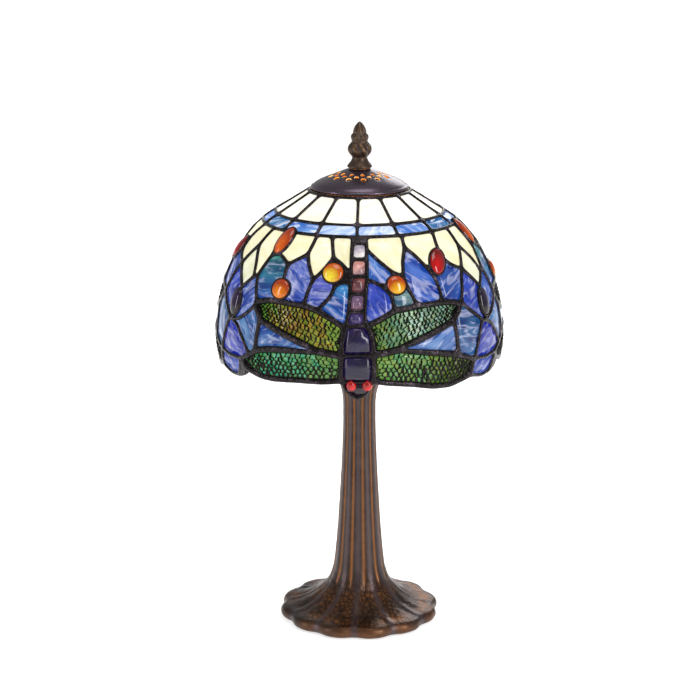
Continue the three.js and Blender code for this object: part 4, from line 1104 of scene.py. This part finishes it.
def buildCap():
    shape = capShape
    bm = bmesh.new()
    rollAngles = [math.radians(a) for a in (90, 60, 30, 0, -30, -60, -90)]
    profile = [(r, domeHeight(r)) for r in shape["radii"]]
    profile += [(shape["rim"] + shape["roll"] * math.cos(a), shape["rimHeight"] + shape["roll"] * math.sin(a))
                for a in rollAngles]
    spinProfile(bm, profile, shape["steps"])
    doomed = []
    for radius, first in shape["ventRings"]:
        for k in range(shape["vents"]):
            place = polar(first + 360 / shape["vents"] * k, radius, domeHeight(radius))
            centre = min(bm.verts, key=lambda v: (v.co - place).length_squared)
            beside = {e.other_vert(centre) for e in centre.link_edges}
            for corner in {v for f in centre.link_faces for v in f.verts} - beside - {centre}:
                corner.co = centre.co.lerp(corner.co, 0.62)
                corner.co.z = domeHeight(math.hypot(corner.co.x, corner.co.y))
            doomed.append(centre)
    bmesh.ops.delete(bm, geom=doomed, context="VERTS")
    bmesh.ops.recalc_face_normals(bm, faces=bm.faces)
    middle = max(bm.faces, key=lambda f: f.calc_center_median().z)
    if middle.normal.z < 0:
        bmesh.ops.reverse_faces(bm, faces=bm.faces)
    bmesh.ops.solidify(bm, geom=bm.faces[:], thickness=shape["wall"])
    bmesh.ops.recalc_face_normals(bm, faces=bm.faces)
    # Inner faces and vent walls near the middle get the painted lamp light.
    for face in bm.faces:
        middle = face.calc_center_median()
        if face.normal.z < shape["litSlope"] and math.hypot(middle.x, middle.y) < shape["litRadius"]:
            face.material_index = 1
    piece = finishPiece("ventedCap", bm, "cap", look["capBronze"], ["vented_cap"], levels=1,
                        turned=shape["turn"])
    piece.data.materials.append(look["capInsidePaintedLight"])


# Base: one casting. The reeds of the column run on over the foot as ridges to the notches of its edge.

baseShape = {
    "steps": 360,
    "reeds": 12,
    "firstReed": -4,
    "reedDepth": 0.95,
    "ridge": 1.1,
    "ridgeWidth": 2.6,
    "panelRise": 0.7,
    "lobeDepth": 2.6,
    "lobeSharpness": 1.6,
    "reedRadius": 14,        # the column radius at which a reed has its full depth
    "reedMean": 0.8,         # the share of a reed's rise that leaves the column's own radius as it is
    "grooveStart": 0.33,     # as a share of the pitch, from a reed's crest
    "insideReach": 0.01,     # how near a point lies to the inner profile to count as inside
    "lowestRise": 6,         # ridges and grain lift the foot only above this height
    "footRadius": 56.7,
    "neckRadius": 19,
    "neckHeight": 34,
    "neckRun": 14,
    "rimHeight": 8.6,
    "rimRound": 3.9,
    "underside": 0.6,
    "columnTop": 176,
    "sweep": ((15.5, 176), (11.9, 163.8), (11.25, 148.5), (12.0, 121), (14.6, 73.8), (17.2, 43.5), (19.0, 33.5),
              (22.4, 25.2), (28, 19), (36, 13.4), (45, 9.8), (52.8, 8.6)),
    "inside": ((48.2, 0.6), (48.2, 1.8), (44.6, 1.8), (44.6, 7.8), (36.2, 7.8), (32.0, 9.9), (25.5, 15.6), (14.6, 31),
               (9.6, 62), (8.0, 90), (8.0, 168), (5.2, 168), (5.2, 176)),
}


def baseProfile():
    shape = baseShape
    rimStart = shape["footRadius"] - shape["rimRound"]
    outside = [(p.x, p.z) for p in alongSpline([(r, 0, z) for r, z in shape["sweep"]], 130)]
    middle = shape["rimHeight"] - shape["rimRound"]
    for k in range(1, 6):
        angle = math.radians(90 - 18 * k)
        outside.append((rimStart + shape["rimRound"] * math.cos(angle), middle + shape["rimRound"] * math.sin(angle)))
    low = shape["underside"] + shape["rimRound"]
    for k in range(0, 6):
        angle = math.radians(18 * k)
        outside.append((rimStart + shape["rimRound"] * math.cos(angle), low - shape["rimRound"] * math.sin(angle)))
    return outside


def smoothStep(value):
    value = max(0.0, min(1.0, value))
    return value * value * (3 - 2 * value)


def buildBase():
    shape = baseShape
    outside = baseProfile()
    bm = bmesh.new()
    spinProfile(bm, [*outside, *shape["inside"]], shape["steps"], True)
    patina = bm.verts.layers.float_color.new("patina")
    pitch = 360 / shape["reeds"]
    for vert in bm.verts:
        radius, height = math.hypot(vert.co.x, vert.co.y), vert.co.z
        azimuth = azimuthOf(vert.co)
        if any(max(abs(radius - r), abs(height - z)) < shape["insideReach"] for r, z in shape["inside"]):
            vert[patina] = (0.1, 0, 0, 1)
            continue
        turn = ((azimuth - shape["firstReed"]) / pitch) % 1
        away = min(turn, 1 - turn)
        out = max(0.0, (radius - shape["neckRadius"]) / (shape["footRadius"] - shape["neckRadius"]))
        if height > shape["neckHeight"]:
            out = 0
        toFoot = smoothStep((shape["neckHeight"] - height) / shape["neckRun"])
        topFade = smoothStep((shape["columnTop"] - height) / 3)
        reed = math.sqrt(max(0.0, 1 - (2 * away) ** 2 * 0.96))
        reedLift = shape["reedDepth"] * (radius / shape["reedRadius"]) ** 0.5 * (reed - shape["reedMean"]) * topFade
        aside = away * math.radians(pitch) * radius
        ridge = math.exp(-(aside / shape["ridgeWidth"]) ** 2)
        panel = math.sin(math.pi * turn) ** 1.2 * math.sin(math.pi * min(1, max(0, out) * 0.86 + 0.1)) ** 0.8
        grain = 0.12 * noise.noise(vert.co * 0.25) + 0.05 * noise.noise(vert.co * 0.9)
        footLift = shape["ridge"] * ridge * smoothStep((1.02 - out) / 0.25) + shape["panelRise"] * panel
        notch = (0.5 + 0.5 * math.cos(2 * math.pi * turn)) ** shape["lobeSharpness"]
        scallop = shape["lobeDepth"] * notch * smoothStep(out)
        outwards = reedLift * (1 - toFoot) + grain - scallop
        grown = (radius + outwards) / radius
        rise = (footLift + grain) * toFoot * (1 if height > shape["lowestRise"] else 0)
        vert.co = Vector((vert.co.x * grown, vert.co.y * grown, height + rise))
        groove = smoothStep((away - shape["grooveStart"]) / 0.14) * (1 - toFoot) * topFade
        patch = 0.6 + 0.9 * noise.noise(vert.co * 0.05)
        topRub = smoothStep((out - 0.1) / 0.08) * smoothStep((0.5 - out) / 0.3)
        rimRub = smoothStep((out - 0.62) / 0.1) * smoothStep((0.9 - out) / 0.12)
        onPanel = 1 - 0.85 * ridge
        rub = max(0.7 * groove, (0.35 * toFoot + 0.45 * topRub + 0.6 * rimRub) * onPanel * patch)
        # Green: painted sheen, a lighter violet-grey on the reed crests and the foot's ridges where light catches
        # them.
        paintedSheen = max(0.55 * (1 - toFoot) * smoothStep((0.3 - away) / 0.26), 0.75 * ridge * toFoot)
        vein = onPanel * toFoot * smoothStep((1.0 - out) / 0.12)
        vert[patina] = (max(0, min(1, rub)), max(0, min(1, paintedSheen)), vein, 1)
    bmesh.ops.recalc_face_normals(bm, faces=bm.faces)
    finishPiece("baseCasting", bm, "root", look["bronze"], ["base_casting"])


# Finial: a bell foot, a knob of leaves with a slight swirl, a ring of beads and a fluted bud.

finialShape = {
    "steps": 128,
    "bottom": 324.0,
    "bore": 3.4,
    "boreTop": 335.0,
    "outline": ((8.5, 324.0), (8.5, 324.7), (7.7, 326.0), (6.2, 327.8), (5.35, 329.6), (5.3, 330.8), (6.4, 332.4),
                (7.8, 334.4), (8.25, 336.3), (7.6, 338.4), (6.2, 340.2), (5.5, 341.3), (5.6, 342.4), (6.0, 343.8),
                (6.1, 345.0), (5.5, 346.2), (4.75, 347.0), (4.6, 348.2), (4.1, 350.0), (3.1, 352.0), (1.7, 353.9)),
    "tip": 355.0,
    "leaves": 8,
    "twist": 4,              # degrees of swirl for each millimetre
    "leafDepth": 0.75,
    "beads": 8,
    "beadDepth": 0.9,
    "budFlutes": 6,
}


def buildFinial():
    shape = finialShape
    outline = [(p.x, p.z) for p in alongSpline([(r, 0, z) for r, z in shape["outline"]], 84)]
    bm = bmesh.new()
    profile = [(0, shape["boreTop"]), (shape["bore"], shape["boreTop"]), (shape["bore"], shape["bottom"]),
               *outline, (0.7, 354.8), (0, shape["tip"])]
    spinProfile(bm, profile, shape["steps"])
    patina = bm.verts.layers.float_color.new("patina")
    for vert in bm.verts:
        radius, height = math.hypot(vert.co.x, vert.co.y), vert.co.z
        if radius <= shape["bore"] + 0.01 and height < 350 or radius < 0.1:
            continue
        azimuth = azimuthOf(vert.co)
        wave = 0.0
        if 331 < height < 342:
            swirl = azimuth + shape["twist"] * (height - 336)
            wave = abs(math.sin(math.radians(shape["leaves"] * swirl / 2))) - 0.6
            wave *= shape["leafDepth"] * smoothStep((height - 331) / 2.5) * smoothStep((342 - height) / 2.5)
        elif 343 < height < 347.2:
            wave = abs(math.sin(math.radians(shape["beads"] * azimuth / 2))) - 0.7
            wave *= shape["beadDepth"] * smoothStep((height - 342.6) / 1.6) * smoothStep((346.8 - height) / 1.4)
        elif height >= 347.2:
            wave = (abs(math.cos(math.radians(shape["budFlutes"] * azimuth / 2))) - 0.6)
            wave *= 0.7 * smoothStep((height - 347.2) / 1.5) * smoothStep((354.5 - height) / 3)
        grown = (radius + wave) / radius
        vert.co.x *= grown
        vert.co.y *= grown
        vert[patina] = (max(0.05, min(0.85, 0.25 + 1.1 * wave)), max(0.0, min(0.6, 0.3 - wave)), 0, 1)
    bmesh.ops.recalc_face_normals(bm, faces=bm.faces)
    finishPiece("finialKnob", bm, "finial", look["darkBronze"], ["finial"])


# Column cap, lampholder, bulb and harp.

def buildColumnCap():
    turnedPiece("columnCap", [(5.2, 176.3), (16.8, 176.3), (17.4, 176.9), (17.4, 178.6), (15.2, 179.8), (14.0, 181.3),
                              (5.2, 181.3)], "root", look["plainBronze"], ["column_cap"], 0.6, 96)


def buildHolder():
    turnedPiece("holderCap", [(5.2, 183.9), (9.0, 183.9), (13.6, 186.2), (15.9, 189.9), (15.9, 197.9), (14.7, 197.9),
                              (14.7, 190.5), (12.8, 187.3), (8.7, 185.3), (5.2, 185.3)],
                "root", look["brass"], ["holder_cap"], 0.8, 96)
    turnedPiece("holderShell", [(14.7, 198.2), (15.9, 198.2), (15.9, 203.6),
                                (16.0, 204.2), (15.9, 204.8), (15.9, 229.4),
                                (16.0, 230.0), (15.9, 230.6), (15.9, 236.2), (14.7, 236.2)],
                "root", look["brass"], ["holder_shell"], 0.3, 96)


bulbShape = {"cap": 13.0, "threadDepth": 0.45, "pitch": 3.63, "capTop": 233.9, "glassRadius": 20.5,
             "glassMiddle": 257.4, "neck": 11.0}


def buildBulb():
    shape = bulbShape
    walls = [(4.3, 207.9), (6.0, 208.9), (shape["cap"] - 1, 211.4)]
    rows = 48
    for k in range(rows + 1):
        height = 211.9 + (shape["capTop"] - 211.9) * k / rows
        walls.append((shape["cap"] - 0.45, height))
    inner = [(12.0, shape["capTop"]), (12.0, 212.6), (5.6, 210.1), (4.3, 209.5)]
    bm = bmesh.new()
    spinProfile(bm, walls + inner, 72, True)
    for vert in bm.verts:
        radius, height = math.hypot(vert.co.x, vert.co.y), vert.co.z
        if radius > 12.3 and 211.9 < height < shape["capTop"] - 0.3:
            turn = azimuthOf(vert.co) / 360 - height / shape["pitch"]
            grown = (radius + shape["threadDepth"] * math.sin(2 * math.pi * turn)
                     * smoothStep((shape["capTop"] - height) / 5)) / radius
            vert.co.x *= grown
            vert.co.y *= grown
    bmesh.ops.recalc_face_normals(bm, faces=bm.faces)
    finishPiece("bulbCap", bm, "bulb", look["steel"], ["bulb_cap"])
    outline = [(0, 223.9), (8.0, 223.9), (shape["neck"], 226.5), (shape["neck"], 235.5), (12.6, 239.5), (15.7, 244.2)]
    for k in range(13):
        angle = -0.55 + (math.pi / 2 + 0.55) * k / 12
        outline.append((shape["glassRadius"] * math.cos(angle), shape["glassMiddle"]
                        + shape["glassRadius"] * math.sin(angle)))
    outline[-1] = (0, outline[-1][1])
    bm = bmesh.new()
    spinProfile(bm, outline, 64)
    bmesh.ops.recalc_face_normals(bm, faces=bm.faces)
    finishPiece("bulbGlass", bm, "bulb", look["frosted"], ["bulb_glass"], levels=1)


harpShape = {
    "rod": 1.7,
    "side": ((15, 182.6), (18, 191.4), (29, 214.8), (33, 243.1), (29, 275.1), (19, 296.9), (8, 303.3)),
    "middle": 303.9,
    "boss": ((3.4, 301.1), (6, 301.1), (6, 306.6), (3.4, 306.6)),
    "saddle": (38, 11, 2, 181.6),
}


def buildHarp():
    shape = harpShape
    knots = [(-x, 0, z) for x, z in shape["side"]] + [(0, 0, shape["middle"])]
    knots += [(x, 0, z) for x, z in reversed(shape["side"])]
    mesh = sweptRod("harpRod", alongSpline(knots, 120), shape["rod"])
    bm = bmesh.new()
    bm.from_mesh(mesh)
    bpy.data.meshes.remove(mesh)
    length, width, height, bottom = shape["saddle"]
    corners = bmesh.ops.create_cube(bm, size=1)["verts"]
    bmesh.ops.scale(bm, vec=(length, width, height), verts=corners)
    bmesh.ops.translate(bm, vec=(0, 0, bottom + height / 2), verts=corners)
    edges = list({e for v in corners for e in v.link_edges})
    bmesh.ops.bevel(bm, geom=edges, offset=0.5, segments=2, profile=0.5, affect="EDGES", material=-1)
    ring = bmesh.new()
    spinProfile(ring, rounded([*shape["boss"], shape["boss"][0]], 0.5)[:-1], 48, True)
    bmesh.ops.recalc_face_normals(ring, faces=ring.faces)
    pourInto(bm, ring)
    finishPiece("harpBow", bm, "root", look["brass"], ["harp"])
    stud = [(0, 299.6), (4.6, 299.6), (4.6, 300.8), (3.1, 300.8), (3.1, 332.2), (2.3, 333.0), (0, 333.0)]
    turnedPiece("harpStud", stud, "root", look["brass"], ["harp_stud"], 0.3, 48)


buildCap()
buildBase()
buildFinial()
buildColumnCap()
buildHolder()
buildBulb()
buildHarp()
print("metalwork ready")


# Pieces whose machined shape stands as it is get their finish here.

nodeFinishes = {
    "brass": ("bottom_nut", "screw_shell", "bulb_contact", "shade_spider"),
    "plainBronze": ("finial_washer",),
    "steel": ("bottom_plate", "threaded_tube", "bottom_washer"),
    "iron": ("ballast_weight",),
    "felt": ("felt_pad",),
    "rubber": ("cord_grommet",),
    "phenolic": ("holder_insulator",),
}
for finish, nodes in nodeFinishes.items():
    for node in nodes:
        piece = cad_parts[node]
        piece.data.materials.clear()
        piece.data.materials.append(look[finish])
